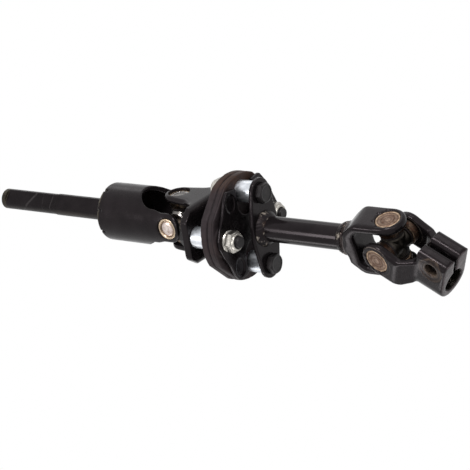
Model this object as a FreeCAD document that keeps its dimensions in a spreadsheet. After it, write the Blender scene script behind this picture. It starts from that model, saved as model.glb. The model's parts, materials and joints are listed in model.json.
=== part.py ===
import FreeCAD, Part
import os

import Sketcher
from FreeCAD import Placement, Rotation, Vector

# Intermediate steering shaft, hanging by its column end.
# Millimetres. The origin is the centre of the column end face, +Z runs up the shaft.
# The front, -Y, is the side with the upper yoke's open bearing cup.

SIZES = {
    # Column shaft: a solid bar with two flats
    "column_end_radius": 9.1,
    "column_bar_radius": 9.525,
    "column_end_flat": 6.8,
    "column_bar_flat": 7.15,
    "column_collar": 5.0,
    "column_step_depth": 65.0,
    "column_inside_length": 27.0,
    "column_flat_turn": -45.0,
    "column_chamfer": 0.8,
    # Tubular yoke at the upper joint
    "can_rim_depth": 130.6,
    "can_radius": 25.0,
    "can_wall": 4.0,
    "can_rim_chamfer": 0.8,
    "can_window_half": 19.5,
    "can_window_reach": 35.7,
    "can_joint_reach": 75.4,
    "can_ear_radius": 12.9,
    "can_ear_tip": 12.2,
    "can_ear_straight": 7.0,
    "can_ear_shoulder": 16.2,
    "can_ear_shoulder_half": 16.0,
    "stake_width": 2.0,
    "stake_length": 5.2,
    "stake_pit": 1.4,
    "stake_count": 8.0,
    "hub_inset": 1.5,
    "hub_length": 24.0,
    # Upper joint
    "upper_cup_radius": 9.2,
    "upper_cup_bore": 7.6,
    "upper_cup_face": 23.9,
    "upper_pin_radius": 5.5,
    # Lower joint
    "lower_cup_radius": 10.0,
    "lower_cup_bore": 8.2,
    "lower_cup_face": 23.2,
    "lower_pin_radius": 6.0,
    # Shared by both joints
    "cup_length": 11.5,
    "cup_floor": 1.7,
    "cup_rim_chamfer": 0.8,
    "cup_dimple": 0.6,
    "cup_rim_drop": 0.1,
    "cup_centre_drop": 0.15,
    "cup_shoulder_drop": 0.35,
    "cup_dish_slope": 1.2,
    "cup_dish_wall": 0.5,
    "pin_end_gap": 0.2,
    "pin_chamfer": 0.8,
    "roller_clearance": 0.05,
    "roller_end_gap": 0.3,
    "roller_length": 7.6,
    "seal_thickness": 1.8,
    "seal_gap": 0.3,
    "seal_overhang": 3.1,
    "seal_lip": 0.7,
    "cross_hub_radius": 9.4,
    "cross_neck": 1.6,
    "cross_neck_inset": 0.6,
    # Flanged yoke below the upper joint
    "flange_yoke_reach": 30.0,
    "flange_yoke_plate": 6.5,
    "flange_yoke_half_length": 41.0,
    "flange_yoke_half_width": 24.5,
    "flange_yoke_corner": 11.0,
    "flange_yoke_corner_round": 4.0,
    "flange_yoke_arm": 6.8,
    "flange_yoke_tip": 13.0,
    "flange_yoke_waist": 16.0,
    "flange_yoke_waist_reach": 17.0,
    "flange_yoke_root": 23.5,
    "flange_yoke_root_rise": 1.5,
    "flange_yoke_bend": 6.3,
    # Rubber coupling
    "bolt_circle_radius": 30.8,
    "disc_radius": 44.5,
    "disc_flat": 42.2,
    "disc_thickness": 13.0,
    "disc_seam": 1.3,
    "disc_seam_depth": 1.2,
    "disc_boss_margin": 0.2,
    "disc_boss_height": 1.2,
    # Stop plate
    "plate_thickness": 2.8,
    "plate_corner_round": 2.5,
    "plate_end_half": 3.2,
    "plate_end_reach": 42.2,
    "plate_shoulder_half": 13.0,
    "plate_shoulder_reach": 38.0,
    "plate_neck_half": 21.5,
    "plate_neck_reach": 32.6,
    "plate_horn_half": 32.0,
    "plate_horn_reach": 28.0,
    "plate_tip_half": 38.3,
    "plate_tip_reach": 23.0,
    "plate_side_half": 37.3,
    "plate_slot_centre": 23.0,
    "plate_slot_clearance": 2.5,
    # Coupling bolts, sleeves and nuts
    "bolt_radius": 5.0,
    "bolt_hole_radius": 5.2,
    "bolt_head_half_flat": 7.6,
    "bolt_head_height": 5.6,
    "bolt_past_nut": 2.5,
    "nut_half_flat": 8.0,
    "nut_base_radius": 8.9,
    "nut_base_height": 1.8,
    "nut_hex_height": 6.2,
    "nut_lock_height": 2.0,
    "nut_lock_radius": 7.2,
    "sleeve_radius": 9.0,
    "sleeve_neck_radius": 7.0,
    "sleeve_edge": 0.4,
    "yoke_sleeve_length": 15.0,
    "flange_sleeve_length": 16.5,
    # Flange on the tube
    "output_flange_thickness": 3.4,
    "output_flange_end": 12.2,
    "output_flange_shoulder": 14.4,
    "output_flange_shoulder_half": 22.0,
    "output_flange_waist": 17.4,
    "output_flange_waist_half": 6.0,
    # Tube and its welds
    "tube_radius": 10.5,
    "tube_wall": 3.5,
    "tube_bare_length": 77.0,
    "flange_weld_leg": 4.8,
    "flange_weld_height": 5.4,
    "yoke_weld_leg": 2.8,
    "yoke_weld_height": 5.0,
    "weld_toe": 0.3,
    "tube_socket": 9.0,
    # Yoke on the tube
    "tube_yoke_hub_radius": 13.8,
    "tube_yoke_hub_top": 42.0,
    "tube_yoke_shoulder": 37.0,
    "tube_yoke_bevel": 2.5,
    "tube_yoke_bevel_length": 4.0,
    "tube_yoke_arm_root": 24.8,
    "tube_yoke_fork_depth": 27.5,
    "tube_yoke_fork_straight": 22.0,
    "tube_yoke_fork_floor": 13.2,
    "tube_yoke_half_width": 14.3,
    "tube_yoke_hub_overlap": 1.0,
    # Ears of both lower yokes
    "lower_ear_outer": 23.7,
    "lower_ear_inner": 17.0,
    "lower_ear_radius": 14.0,
    "lower_ear_rounding": 2.4,
    # Clamp yoke
    "clamp_radius": 15.25,
    "clamp_start": 30.0,
    "clamp_end": 54.2,
    "clamp_lug_height": 25.5,
    "clamp_lug_round": 4.0,
    "clamp_slit": 3.0,
    "clamp_slit_past": 1.0,
    "clamp_overlap": 2.0,
    "clamp_bore_radius": 9.8,
    "clamp_yoke_fork_depth": 25.0,
    "clamp_yoke_fork_straight": 17.0,
    "clamp_yoke_fork_floor": 11.0,
    "clamp_web_low": 14.2,
    "clamp_web_high": 11.2,
    "clamp_web_top": 14.6,
    "clamp_web_root": 9.4,
    "clamp_web_drop": 5.0,
    "pinch_height": 15.4,
    "pinch_depth": 42.0,
    "pinch_hole_radius": 5.2,
    "pinch_thread_radius": 4.25,
    "pinch_spot_radius": 9.5,
    "pinch_spot_depth": 0.6,
    # How far the lower joint is bent in the resting pose, in degrees
    "lower_joint_turn": -16.0,
    "cross_bend": -11.3,
    "clamp_bend": 22.7,
    # Length by which a cutting tool runs past the metal
    "overrun": 5.0,
}

doc = FreeCAD.newDocument("IntermediateSteeringShaft")
sheet = doc.addObject("Spreadsheet::Sheet", "Sizes")
for row, (alias, value) in enumerate(SIZES.items(), 1):
    sheet.set(f"A{row}", alias)
    sheet.set(f"B{row}", str(value))
    sheet.setAlias(f"B{row}", alias)
doc.recompute()

parts = {}

X_AXIS = Rotation(Vector(0, 1, 0), 90)
Y_AXIS = Rotation(Vector(1, 0, 0), -90)

# Depths down the shaft, each one worked out from the piece above it
UPPER = "-(Sizes.can_rim_depth + Sizes.can_joint_reach)"
YOKE_PLATE_TOP = f"({UPPER} - Sizes.flange_yoke_reach)"
YOKE_PLATE_BOTTOM = f"({YOKE_PLATE_TOP} - Sizes.flange_yoke_plate)"
DISC_TOP = f"({YOKE_PLATE_BOTTOM} - Sizes.yoke_sleeve_length)"
DISC_BOTTOM = f"({DISC_TOP} - Sizes.disc_thickness)"
BOSS_BOTTOM = f"({DISC_BOTTOM} - Sizes.disc_boss_height)"
PLATE_BOTTOM = f"({BOSS_BOTTOM} - Sizes.plate_thickness)"
FLANGE_TOP = f"({DISC_BOTTOM} - Sizes.flange_sleeve_length)"
FLANGE_BOTTOM = f"({FLANGE_TOP} - Sizes.output_flange_thickness)"
HUB_TOP = f"({FLANGE_BOTTOM} - Sizes.tube_bare_length)"
TUBE_BOTTOM = f"({HUB_TOP} - Sizes.tube_socket)"
LOWER = f"({HUB_TOP} - Sizes.tube_yoke_hub_top)"
NUT_HEIGHT = "(Sizes.nut_base_height + Sizes.nut_hex_height + Sizes.nut_lock_height)"


def size(expression):
    """The number that an expression of the sheet's values gives."""
    return float(sheet.evalExpression(expression))


# Helpers for bodies with sketches

def new_body(node):
    body = doc.addObject("PartDesign::Body", node)
    body.Label = node
    parts[node] = body
    return body


def new_sketch(body, name, role, offset="0"):
    plane = next(f for f in body.Origin.OriginFeatures if f.Role == role)
    sketch = body.newObject("Sketcher::SketchObject", name)
    sketch.AttachmentSupport = [(plane, "")]
    sketch.MapMode = "FlatFace"
    if offset != "0":
        sketch.setExpression("AttachmentOffset.Base.z", offset)
    return sketch


def pin_point(sketch, geometry, point, x, y):
    """Fix one point of a sketch at two expressions."""
    for kind, expression, axis in (("DistanceX", x, -2), ("DistanceY", y, -1)):
        if expression == "0":
            sketch.addConstraint(Sketcher.Constraint("PointOnObject", geometry, point, axis))
            continue
        place = Sketcher.Constraint(kind, -1, 1, geometry, point, size(expression))
        index = sketch.addConstraint(place)
        sketch.setExpression(f"Constraints[{index}]", expression)


def draw_polygon(sketch, points):
    corners = [Vector(size(x), size(y), 0) for x, y in points]
    lines = [
        sketch.addGeometry(Part.LineSegment(start, corners[(k + 1) % len(corners)]))
        for k, start in enumerate(corners)
    ]
    for k, line in enumerate(lines):
        following = lines[(k + 1) % len(lines)]
        sketch.addConstraint(Sketcher.Constraint("Coincident", line, 2, following, 1))
    for line, (x, y) in zip(lines, points):
        pin_point(sketch, line, 1, x, y)


def draw_circle(sketch, radius, x="0", y="0"):
    centre = Vector(size(x), size(y), 0)
    circle = sketch.addGeometry(Part.Circle(centre, Vector(0, 0, 1), size(radius)))
    index = sketch.addConstraint(Sketcher.Constraint("Radius", circle, size(radius)))
    sketch.setExpression(f"Constraints[{index}]", radius)
    pin_point(sketch, circle, 3, x, y)


def draw_hexagon(sketch, half_flat):
    corner = f"({half_flat} / cos(30))"
    draw_polygon(sketch, [
        (f"{corner} * cos({angle})", f"{corner} * sin({angle})") for angle in range(0, 360, 60)
    ])


def mirrored(points):
    """Points of one side, followed by the same points across the vertical axis."""
    return points + [(f"-({x})", y) for x, y in reversed(points)]


def pad(body, name, sketch, length, midplane=False):
    feature = body.newObject("PartDesign::Pad", name)
    feature.Profile = sketch
    feature.setExpression("Length", length)
    feature.Midplane = midplane
    doc.recompute()
    return feature


def pocket(body, name, sketch, length, midplane=False):
    """Cut down from a sketch, and make sure that the cut met metal."""
    before = body.Shape.Volume
    feature = body.newObject("PartDesign::Pocket", name)
    feature.Profile = sketch
    feature.setExpression("Length", length)
    feature.Midplane = midplane
    doc.recompute()
    if feature.Shape.Volume > before * 0.99999:
        raise RuntimeError(f"{name} cuts nothing")
    return feature


def revolve(body, name, sketch, axis="V_Axis"):
    feature = body.newObject("PartDesign::Revolution", name)
    feature.Profile = sketch
    feature.ReferenceAxis = (sketch, [axis])
    feature.Angle = 360
    doc.recompute()
    return feature


def edges_where(feature, test):
    return [
        f"Edge{number}" for number, edge in enumerate(feature.Shape.Edges, 1)
        if test(edge, edge.CenterOfMass)
    ]


def dress(body, kind, name, feature, edges, amount):
    """A fillet or chamfer on named edges of the body's last feature."""
    property_name = {"Fillet": "Radius", "Chamfer": "Size"}[kind]
    dressed = body.newObject(f"PartDesign::{kind}", name)
    dressed.Base = (feature, edges)
    dressed.setExpression(property_name, amount)
    doc.recompute()
    return dressed


# Helpers for pieces made of primitives and booleans

def set_place(item, x="0", y="0", z="0", turn=None):
    item.Placement = Placement(Vector(size(x), size(y), size(z)), turn or Rotation())
    for letter, expression in zip("xyz", (x, y, z)):
        if expression != "0":
            item.setExpression(f"Placement.Base.{letter}", expression)
    return item


def cylinder(name, radius, height, x="0", y="0", z="0", turn=None):
    item = doc.addObject("Part::Cylinder", name)
    item.setExpression("Radius", radius)
    item.setExpression("Height", height)
    return set_place(item, x, y, z, turn)


def box(name, x_range, y_range, z_range, turn=None):
    """A box between pairs of expressions along each axis."""
    item = doc.addObject("Part::Box", name)
    for side, (low, high) in zip(("Length", "Width", "Height"), (x_range, y_range, z_range)):
        item.setExpression(side, f"({high}) - ({low})")
    return set_place(item, x_range[0], y_range[0], z_range[0], turn)


def extrusion(name, role, points, half_length, circles=()):
    """A prism on both sides of an origin plane, from one outline of straight sides."""
    body = doc.addObject("PartDesign::Body", name)
    sketch = new_sketch(body, f"{name}_outline", role)
    draw_polygon(sketch, points)
    feature = pad(body, f"{name}_pad", sketch, f"2 * ({half_length})", midplane=True)
    for number, (radius, x, y) in enumerate(circles, 1):
        round_sketch = new_sketch(body, f"{name}_round_{number}", role)
        draw_circle(round_sketch, radius, x, y)
        feature = pad(body, f"{name}_round_pad_{number}", round_sketch,
                      f"2 * ({half_length})", midplane=True)
    return body


def fuse(name, *items):
    joined = doc.addObject("Part::MultiFuse", name)
    joined.Shapes = list(items)
    joined.Refine = True
    doc.recompute()
    return joined


def common(name, *items):
    shared = doc.addObject("Part::MultiCommon", name)
    shared.Shapes = list(items)
    shared.Refine = True
    doc.recompute()
    return shared


def cut(name, base, *tools):
    """The base less its tools, which together must meet metal."""
    tool = tools[0] if len(tools) == 1 else fuse(f"{name}_tools", *tools)
    result = doc.addObject("Part::Cut", name)
    result.Base = base
    result.Tool = tool
    result.Refine = True
    doc.recompute()
    if result.Shape.Volume > base.Shape.Volume * 0.99999:
        raise RuntimeError(f"{name} cuts nothing")
    return result


def rounded(name, base, radius, test):
    """The base with every edge that passes a test rounded to one radius."""
    doc.recompute()
    item = doc.addObject("Part::Fillet", name)
    item.Base = base
    item.Edges = [
        (number, size(radius), size(radius))
        for number, edge in enumerate(base.Shape.Edges, 1) if test(edge, edge.CenterOfMass)
    ]
    doc.recompute()
    return item


def keep(node, item):
    """Name a finished piece after its node."""
    item.Label = node
    parts[node] = item
    return item


# Column shaft and tubular yoke

def make_column_shaft():
    body = new_body("column_shaft")
    length = "Sizes.can_rim_depth + Sizes.column_inside_length"
    outline = new_sketch(body, "column_bar_circle", "XY_Plane", f"-({length})")
    draw_circle(outline, "Sizes.column_bar_radius")
    pad(body, "column_bar", outline, f"{length} - Sizes.column_step_depth")
    outline = new_sketch(body, "column_end_circle", "XY_Plane", "-Sizes.column_step_depth")
    draw_circle(outline, "Sizes.column_end_radius")
    end = pad(body, "column_end", outline, "Sizes.column_step_depth")
    rims = edges_where(end, lambda edge, c: edge.Closed and c.z > -0.01)
    dress(body, "Chamfer", "column_end_chamfer", end, rims, "Sizes.column_chamfer")
    flats = (
        ("column_end_flat_cut", "Sizes.column_end_flat", "-Sizes.column_collar",
         "Sizes.column_step_depth - Sizes.column_collar"),
        ("column_bar_flat_cut", "Sizes.column_bar_flat", "-Sizes.column_step_depth",
         f"{length} - Sizes.column_step_depth"),
    )
    reach = "(Sizes.column_bar_radius + Sizes.overrun)"
    for name, flat, top, depth in flats:
        sketch = new_sketch(body, f"{name}_outline", "XY_Plane", top)
        for side in ("", "-"):
            draw_polygon(sketch, [
                (f"{side}{flat}", f"-{reach}"), (f"{side}{reach}", f"-{reach}"),
                (f"{side}{reach}", reach), (f"{side}{flat}", reach),
            ])
        pocket(body, name, sketch, depth)
    body.Placement = Placement(Vector(), Rotation(Vector(0, 0, 1), size("Sizes.column_flat_turn")))


def make_tubular_yoke():
    rim = "-Sizes.can_rim_depth"
    tip = f"({UPPER} - Sizes.can_ear_tip)"
    past = "Sizes.can_radius + Sizes.overrun"
    outer = cylinder("can_outer", "Sizes.can_radius", f"{rim} - {tip}", z=tip)
    chamfered = doc.addObject("Part::Chamfer", "can_rim")
    chamfered.Base = outer
    doc.recompute()
    chamfered.Edges = [
        (number, size("Sizes.can_rim_chamfer"), size("Sizes.can_rim_chamfer"))
        for number, edge in enumerate(outer.Shape.Edges, 1)
        if edge.Closed and edge.CenterOfMass.z > size(rim) - 0.01
    ]
    bore = cylinder("can_bore", "Sizes.can_radius - Sizes.can_wall",
                    f"{rim} - {tip} + 2 * Sizes.overrun", z=f"{tip} - Sizes.overrun")
    window_centre = f"({UPPER} + Sizes.can_window_reach - Sizes.can_window_half)"
    window_round = cylinder("can_window_round", "Sizes.can_window_half", f"2 * ({past})",
                            x=f"-({past})", z=window_centre, turn=X_AXIS)
    window_slot = box("can_window_slot", (f"-({past})", past),
                      ("-Sizes.can_window_half", "Sizes.can_window_half"),
                      (f"{tip} - Sizes.overrun", window_centre))
    shoulder = f"{UPPER} + Sizes.can_ear_shoulder"
    ear_space = box("can_ear_space", (f"-({past})", past), (f"-({past})", past),
                    (f"{tip} - Sizes.overrun", shoulder))
    ear = extrusion("can_ear", "XZ_Plane", mirrored([
        ("Sizes.can_ear_radius", UPPER), ("Sizes.can_ear_radius", f"{UPPER} + Sizes.can_ear_straight"),
        ("Sizes.can_ear_shoulder_half", shoulder),
        ("Sizes.can_ear_shoulder_half", f"{shoulder} + Sizes.overrun"),
    ]), f"2 * ({past})", circles=(("Sizes.can_ear_radius", "0", UPPER),))
    ear_trim = cut("can_ear_trim", ear_space, ear)
    cup_hole = cylinder("can_cup_hole", "Sizes.upper_cup_radius", f"2 * ({past})",
                        y=f"-({past})", z=UPPER, turn=Y_AXIS)
    pits = [make_stake_pit(number) for number in range(int(size("Sizes.stake_count")))]
    keep("tubular_yoke", cut("tubular_yoke_solid", chamfered, bore, window_round, window_slot,
                             ear_trim, cup_hole, *pits))


def make_stake_pit(number):
    """One of the pits where the rim was struck down into the hub's groove."""
    angle = 360.0 / size("Sizes.stake_count") * (number + 0.5)
    pit = doc.addObject("Part::Box", f"stake_pit_{number + 1}")
    pit.setExpression("Length", "Sizes.stake_pit + Sizes.overrun")
    pit.setExpression("Width", "Sizes.stake_width")
    pit.setExpression("Height", "Sizes.stake_length + Sizes.overrun")
    turn = Rotation(Vector(0, 0, 1), angle)
    corner = Vector(size("Sizes.can_radius - Sizes.stake_pit"), -size("Sizes.stake_width") / 2,
                    -size("Sizes.can_rim_depth + Sizes.stake_length"))
    pit.Placement = Placement(turn.multVec(corner), turn)
    return pit


def make_yoke_hub():
    """The plug that carries the bar in the mouth of the tubular yoke."""
    top = "-(Sizes.can_rim_depth + Sizes.hub_inset)"
    low = f"({top} - Sizes.hub_length)"
    blank = cylinder("hub_blank", "Sizes.can_radius - Sizes.can_wall", "Sizes.hub_length", z=low)
    bar = cylinder("hub_bar", "Sizes.column_bar_radius", "Sizes.hub_length + 2 * Sizes.overrun",
                   z=f"{low} - Sizes.overrun")
    reach = "(Sizes.column_bar_radius + Sizes.overrun)"
    flats = box("hub_flats", ("-Sizes.column_bar_flat", "Sizes.column_bar_flat"),
                (f"-{reach}", reach), (f"{low} - Sizes.overrun", f"{top} + Sizes.overrun"))
    hole = common("hub_hole", bar, flats)
    hub = keep("yoke_hub", cut("yoke_hub_solid", blank, hole))
    hub.Placement = Placement(Vector(), Rotation(Vector(0, 0, 1), size("Sizes.column_flat_turn")))


# Crosses, bearing cups, rollers and seals, the same for both joints

def make_cross(node, joint, place):
    """Four pins on one forged centre, turned about two axes at right angles."""
    pin = f"Sizes.{joint}_pin_radius"
    end = f"(Sizes.{joint}_cup_face - Sizes.cup_floor - Sizes.pin_end_gap)"
    seat = f"(Sizes.{joint}_cup_face - Sizes.cup_length - Sizes.seal_gap - Sizes.seal_thickness)"
    neck = f"({pin} + Sizes.seal_overhang - Sizes.cross_neck_inset)"
    half = [
        ("0", end), (f"{pin} - Sizes.pin_chamfer", end), (pin, f"{end} - Sizes.pin_chamfer"),
        (pin, seat), (neck, seat), ("Sizes.cross_hub_radius", f"{seat} - Sizes.cross_neck"),
    ]
    outline = half + [(x, f"-({y})") for x, y in reversed(half)]
    body = new_body(node)
    upright = new_sketch(body, f"{node}_profile_y", "XY_Plane")
    draw_polygon(upright, outline)
    revolve(body, f"{node}_pins_y", upright, "V_Axis")
    across = new_sketch(body, f"{node}_profile_x", "XY_Plane")
    draw_polygon(across, [(y, x) for x, y in outline])
    revolve(body, f"{node}_pins_x", across, "H_Axis")
    body.Placement = place


def make_cup(node, joint, place):
    """A drawn cup, closed on the outside, with a dished face."""
    outer = f"Sizes.{joint}_cup_radius"
    bore = f"Sizes.{joint}_cup_bore"
    dish = f"({outer} * 0.72)"
    body = new_body(node)
    sketch = new_sketch(body, f"{node}_profile", "XZ_Plane")
    draw_polygon(sketch, [
        ("0", "-Sizes.cup_centre_drop"), (f"{dish} - Sizes.cup_dish_slope", "-Sizes.cup_shoulder_drop"),
        (dish, "-Sizes.cup_dimple"), (f"{dish} + Sizes.cup_dish_wall", "-Sizes.cup_rim_drop"),
        (f"{outer} - Sizes.cup_rim_chamfer", "-Sizes.cup_rim_drop"),
        (outer, "-(Sizes.cup_rim_drop + Sizes.cup_rim_chamfer)"),
        (outer, "-Sizes.cup_length"), (bore, "-Sizes.cup_length"), (bore, "-Sizes.cup_floor"),
        ("0", "-Sizes.cup_floor"),
    ])
    revolve(body, f"{node}_turned", sketch)
    body.Placement = place


def make_rollers(node, joint, place):
    """The ring that the needle rollers fill, between the pin and the cup."""
    inner = f"(Sizes.{joint}_pin_radius + Sizes.roller_clearance)"
    outer = f"Sizes.{joint}_cup_bore"
    top = "-(Sizes.cup_floor + Sizes.roller_end_gap)"
    low = f"({top} - Sizes.roller_length)"
    body = new_body(node)
    sketch = new_sketch(body, f"{node}_profile", "XZ_Plane")
    draw_polygon(sketch, [(inner, low), (outer, low), (outer, top), (inner, top)])
    revolve(body, f"{node}_ring", sketch)
    body.Placement = place


def make_seal(node, joint, place):
    """A rubber ring round the root of a pin, just clear of the cup's mouth."""
    inner = f"Sizes.{joint}_pin_radius"
    outer = f"({inner} + Sizes.seal_overhang)"
    top = "-(Sizes.cup_length + Sizes.seal_gap)"
    low = f"({top} - Sizes.seal_thickness)"
    body = new_body(node)
    sketch = new_sketch(body, f"{node}_profile", "XZ_Plane")
    draw_polygon(sketch, [
        (inner, low), (outer, low), (outer, f"{low} + Sizes.seal_thickness * 0.6"),
        (f"{outer} - Sizes.seal_lip", top), (inner, top),
    ])
    revolve(body, f"{node}_ring", sketch)
    body.Placement = place


def pin_place(joint_place, joint, side_axis, sign):
    """The frame of a cup: its +Z points out along a pin, its origin is on the cup's face."""
    out = Vector(*side_axis) * sign
    local = Placement(out * size(f"Sizes.{joint}_cup_face"), Rotation(Vector(0, 0, 1), out))
    return joint_place.multiply(local)


def make_bearing(joint, side, joint_place, cup_axis, sign):
    place = pin_place(joint_place, joint, cup_axis, sign)
    make_cup(f"{joint}_cup_{side}", joint, place)
    make_rollers(f"{joint}_rollers_{side}", joint, place)
    make_seal(f"{joint}_seal_{side}", joint, place)


# Flanged yoke

def make_flange_yoke():
    """A plate with two arms bent up from its long edges."""
    arm_inner = "(Sizes.flange_yoke_half_width - Sizes.flange_yoke_arm)"
    body = new_body("flange_yoke")
    outline = new_sketch(body, "yoke_plate_outline", "XY_Plane", YOKE_PLATE_BOTTOM)
    length, width = "Sizes.flange_yoke_half_length", "Sizes.flange_yoke_half_width"
    corner = "Sizes.flange_yoke_corner"
    quarter = [(width, f"-({length} - {corner})"), (f"{width} - {corner} * 0.75", f"-{length}")]
    lower_edge = mirrored([quarter[0], quarter[1]])
    draw_polygon(outline, lower_edge + [(x, f"-({y})") for x, y in reversed(lower_edge)])
    feature = pad(body, "yoke_plate", outline, "Sizes.flange_yoke_plate")
    end = size(length)
    corners = edges_where(feature, lambda edge, c: (
        abs(abs(c.y) - end) < 0.01 and abs(edge.tangentAt(edge.FirstParameter).z) > 0.99))
    dress(body, "Fillet", "yoke_plate_corners", feature, corners, "Sizes.flange_yoke_corner_round")
    arm = mirrored([
        ("Sizes.flange_yoke_root", YOKE_PLATE_BOTTOM),
        ("Sizes.flange_yoke_root", f"{YOKE_PLATE_TOP} + Sizes.flange_yoke_root_rise"),
        ("Sizes.flange_yoke_waist", f"{UPPER} - Sizes.flange_yoke_waist_reach"),
        ("Sizes.flange_yoke_tip", UPPER),
    ])
    for name, offset in (("right", arm_inner), ("left", f"-{width}")):
        sketch = new_sketch(body, f"yoke_arm_{name}_outline", "YZ_Plane", offset)
        draw_polygon(sketch, arm)
        pad(body, f"yoke_arm_{name}", sketch, "Sizes.flange_yoke_arm")
        sketch = new_sketch(body, f"yoke_arm_{name}_tip_circle", "YZ_Plane", offset)
        draw_circle(sketch, "Sizes.flange_yoke_tip", "0", UPPER)
        feature = pad(body, f"yoke_arm_{name}_tip", sketch, "Sizes.flange_yoke_arm")
    outer_x, low_z = size(width), size(YOKE_PLATE_BOTTOM)
    bends = edges_where(feature, lambda edge, c: abs(abs(c.x) - outer_x) < 0.01 and abs(c.z - low_z) < 0.01)
    dress(body, "Fillet", "yoke_bends", feature, bends, "Sizes.flange_yoke_bend")
    holes = new_sketch(body, "yoke_bolt_circles", "XY_Plane", YOKE_PLATE_TOP)
    for side in ("", "-"):
        draw_circle(holes, "Sizes.bolt_hole_radius", "0", f"{side}Sizes.bolt_circle_radius")
    pocket(body, "yoke_bolt_holes", holes, "Sizes.flange_yoke_plate + Sizes.overrun")
    hole = new_sketch(body, "yoke_cup_circle", "YZ_Plane")
    draw_circle(hole, "Sizes.upper_cup_radius", "0", UPPER)
    pocket(body, "yoke_cup_holes", hole, f"2 * ({width} + Sizes.overrun)", midplane=True)


# Rubber coupling

def octagon_slab(name, inset, low, thickness):
    """A disc with flats on its four diagonals, drawn in from the full size by an inset."""
    disc = cylinder(f"{name}_round", f"Sizes.disc_radius - {inset}", thickness, z=low)
    flat = f"(Sizes.disc_flat - {inset})"
    square = doc.addObject("Part::Box", f"{name}_square")
    square.setExpression("Length", f"2 * {flat}")
    square.setExpression("Width", f"2 * {flat}")
    square.setExpression("Height", thickness)
    turn = Rotation(Vector(0, 0, 1), 45)
    corner = turn.multVec(Vector(-size(flat), -size(flat), 0))
    square.Placement = Placement(corner + Vector(0, 0, size(low)), turn)
    return common(name, disc, square)


def make_coupling_disc():
    band = "(Sizes.disc_thickness - Sizes.disc_seam) / 2"
    upper = octagon_slab("disc_upper_band", "0", f"{DISC_TOP} - {band}", band)
    seam = octagon_slab("disc_seam_band", "Sizes.disc_seam_depth", DISC_BOTTOM, "Sizes.disc_thickness")
    lower = octagon_slab("disc_lower_band", "0", DISC_BOTTOM, band)
    boss_radius = "Sizes.disc_radius - Sizes.bolt_circle_radius - Sizes.disc_boss_margin"
    bosses = [
        cylinder(f"disc_boss_{number}", boss_radius, "Sizes.disc_boss_height", x=x, y=y, z=BOSS_BOTTOM)
        for number, (x, y) in enumerate(bolt_centres()[:2], 1)
    ]
    body = fuse("disc_body", upper, seam, lower, *bosses)
    drill = "Sizes.disc_thickness + Sizes.disc_boss_height + 2 * Sizes.overrun"
    holes = [
        cylinder(f"disc_hole_{number}", "Sizes.sleeve_neck_radius", drill,
                 x=x, y=y, z=f"{BOSS_BOTTOM} - Sizes.overrun")
        for number, (x, y) in enumerate(bolt_centres(), 1)
    ]
    keep("coupling_disc", cut("coupling_disc_solid", body, *holes))


def bolt_centres():
    """Front, back, right and left bolt centres: the first two hold the yoke."""
    circle = "Sizes.bolt_circle_radius"
    return (("0", f"-{circle}"), ("0", circle), (circle, "0"), (f"-{circle}", "0"))


def make_stop_plate():
    """A pressed plate on the disc's bosses, with four horns round the other pair of bolts."""
    body = new_body("stop_plate")
    quarter = [
        (f"Sizes.plate_{place}_half", f"-Sizes.plate_{place}_reach")
        for place in ("end", "shoulder", "neck", "horn", "tip")
    ]
    slot = "(Sizes.sleeve_radius + Sizes.plate_slot_clearance)"
    quarter.append(("Sizes.plate_side_half", f"-{slot}"))
    right = quarter + [(x, f"-({y})") for x, y in reversed(quarter)]
    sketch = new_sketch(body, "stop_plate_outline", "XY_Plane", PLATE_BOTTOM)
    draw_polygon(sketch, mirrored(right))
    feature = pad(body, "stop_plate_blank", sketch, "Sizes.plate_thickness")
    corners = edges_where(feature, lambda edge, c: abs(edge.tangentAt(edge.FirstParameter).z) > 0.99)
    dress(body, "Fillet", "stop_plate_corners", feature, corners, "Sizes.plate_corner_round")
    holes = new_sketch(body, "stop_plate_circles", "XY_Plane", BOSS_BOTTOM)
    for x, y in bolt_centres()[:2]:
        draw_circle(holes, "Sizes.bolt_hole_radius", x, y)
    pocket(body, "stop_plate_holes", holes, "Sizes.plate_thickness + Sizes.overrun")
    centre, past = "Sizes.plate_slot_centre", "(Sizes.plate_tip_half + Sizes.overrun)"
    for name, sign in (("right", ""), ("left", "-")):
        round_end = new_sketch(body, f"stop_plate_slot_{name}_circle", "XY_Plane", BOSS_BOTTOM)
        draw_circle(round_end, slot, f"{sign}{centre}")
        pocket(body, f"stop_plate_slot_{name}_round", round_end, "Sizes.plate_thickness + Sizes.overrun")
        mouth = new_sketch(body, f"stop_plate_slot_{name}_mouth", "XY_Plane", BOSS_BOTTOM)
        draw_polygon(mouth, [
            (f"{sign}{centre}", f"-{slot}"), (f"{sign}{past}", f"-{slot}"),
            (f"{sign}{past}", slot), (f"{sign}{centre}", slot),
        ])
        pocket(body, f"stop_plate_slot_{name}", mouth, "Sizes.plate_thickness + Sizes.overrun")


# Coupling hardware

def make_sleeve(node, length, neck_length, place):
    """A shouldered sleeve: the collar spaces the flange off, the neck passes the rubber."""
    body = new_body(node)
    sketch = new_sketch(body, f"{node}_profile", "XZ_Plane")
    draw_polygon(sketch, [
        ("Sizes.bolt_hole_radius", "0"), ("Sizes.sleeve_radius - Sizes.sleeve_edge", "0"),
        ("Sizes.sleeve_radius", "-Sizes.sleeve_edge"),
        ("Sizes.sleeve_radius", f"-({length})"), ("Sizes.sleeve_neck_radius", f"-({length})"),
        ("Sizes.sleeve_neck_radius", f"-({length} + {neck_length})"),
        ("Sizes.bolt_hole_radius", f"-({length} + {neck_length})"),
    ])
    revolve(body, f"{node}_turned", sketch)
    body.Placement = place


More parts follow.
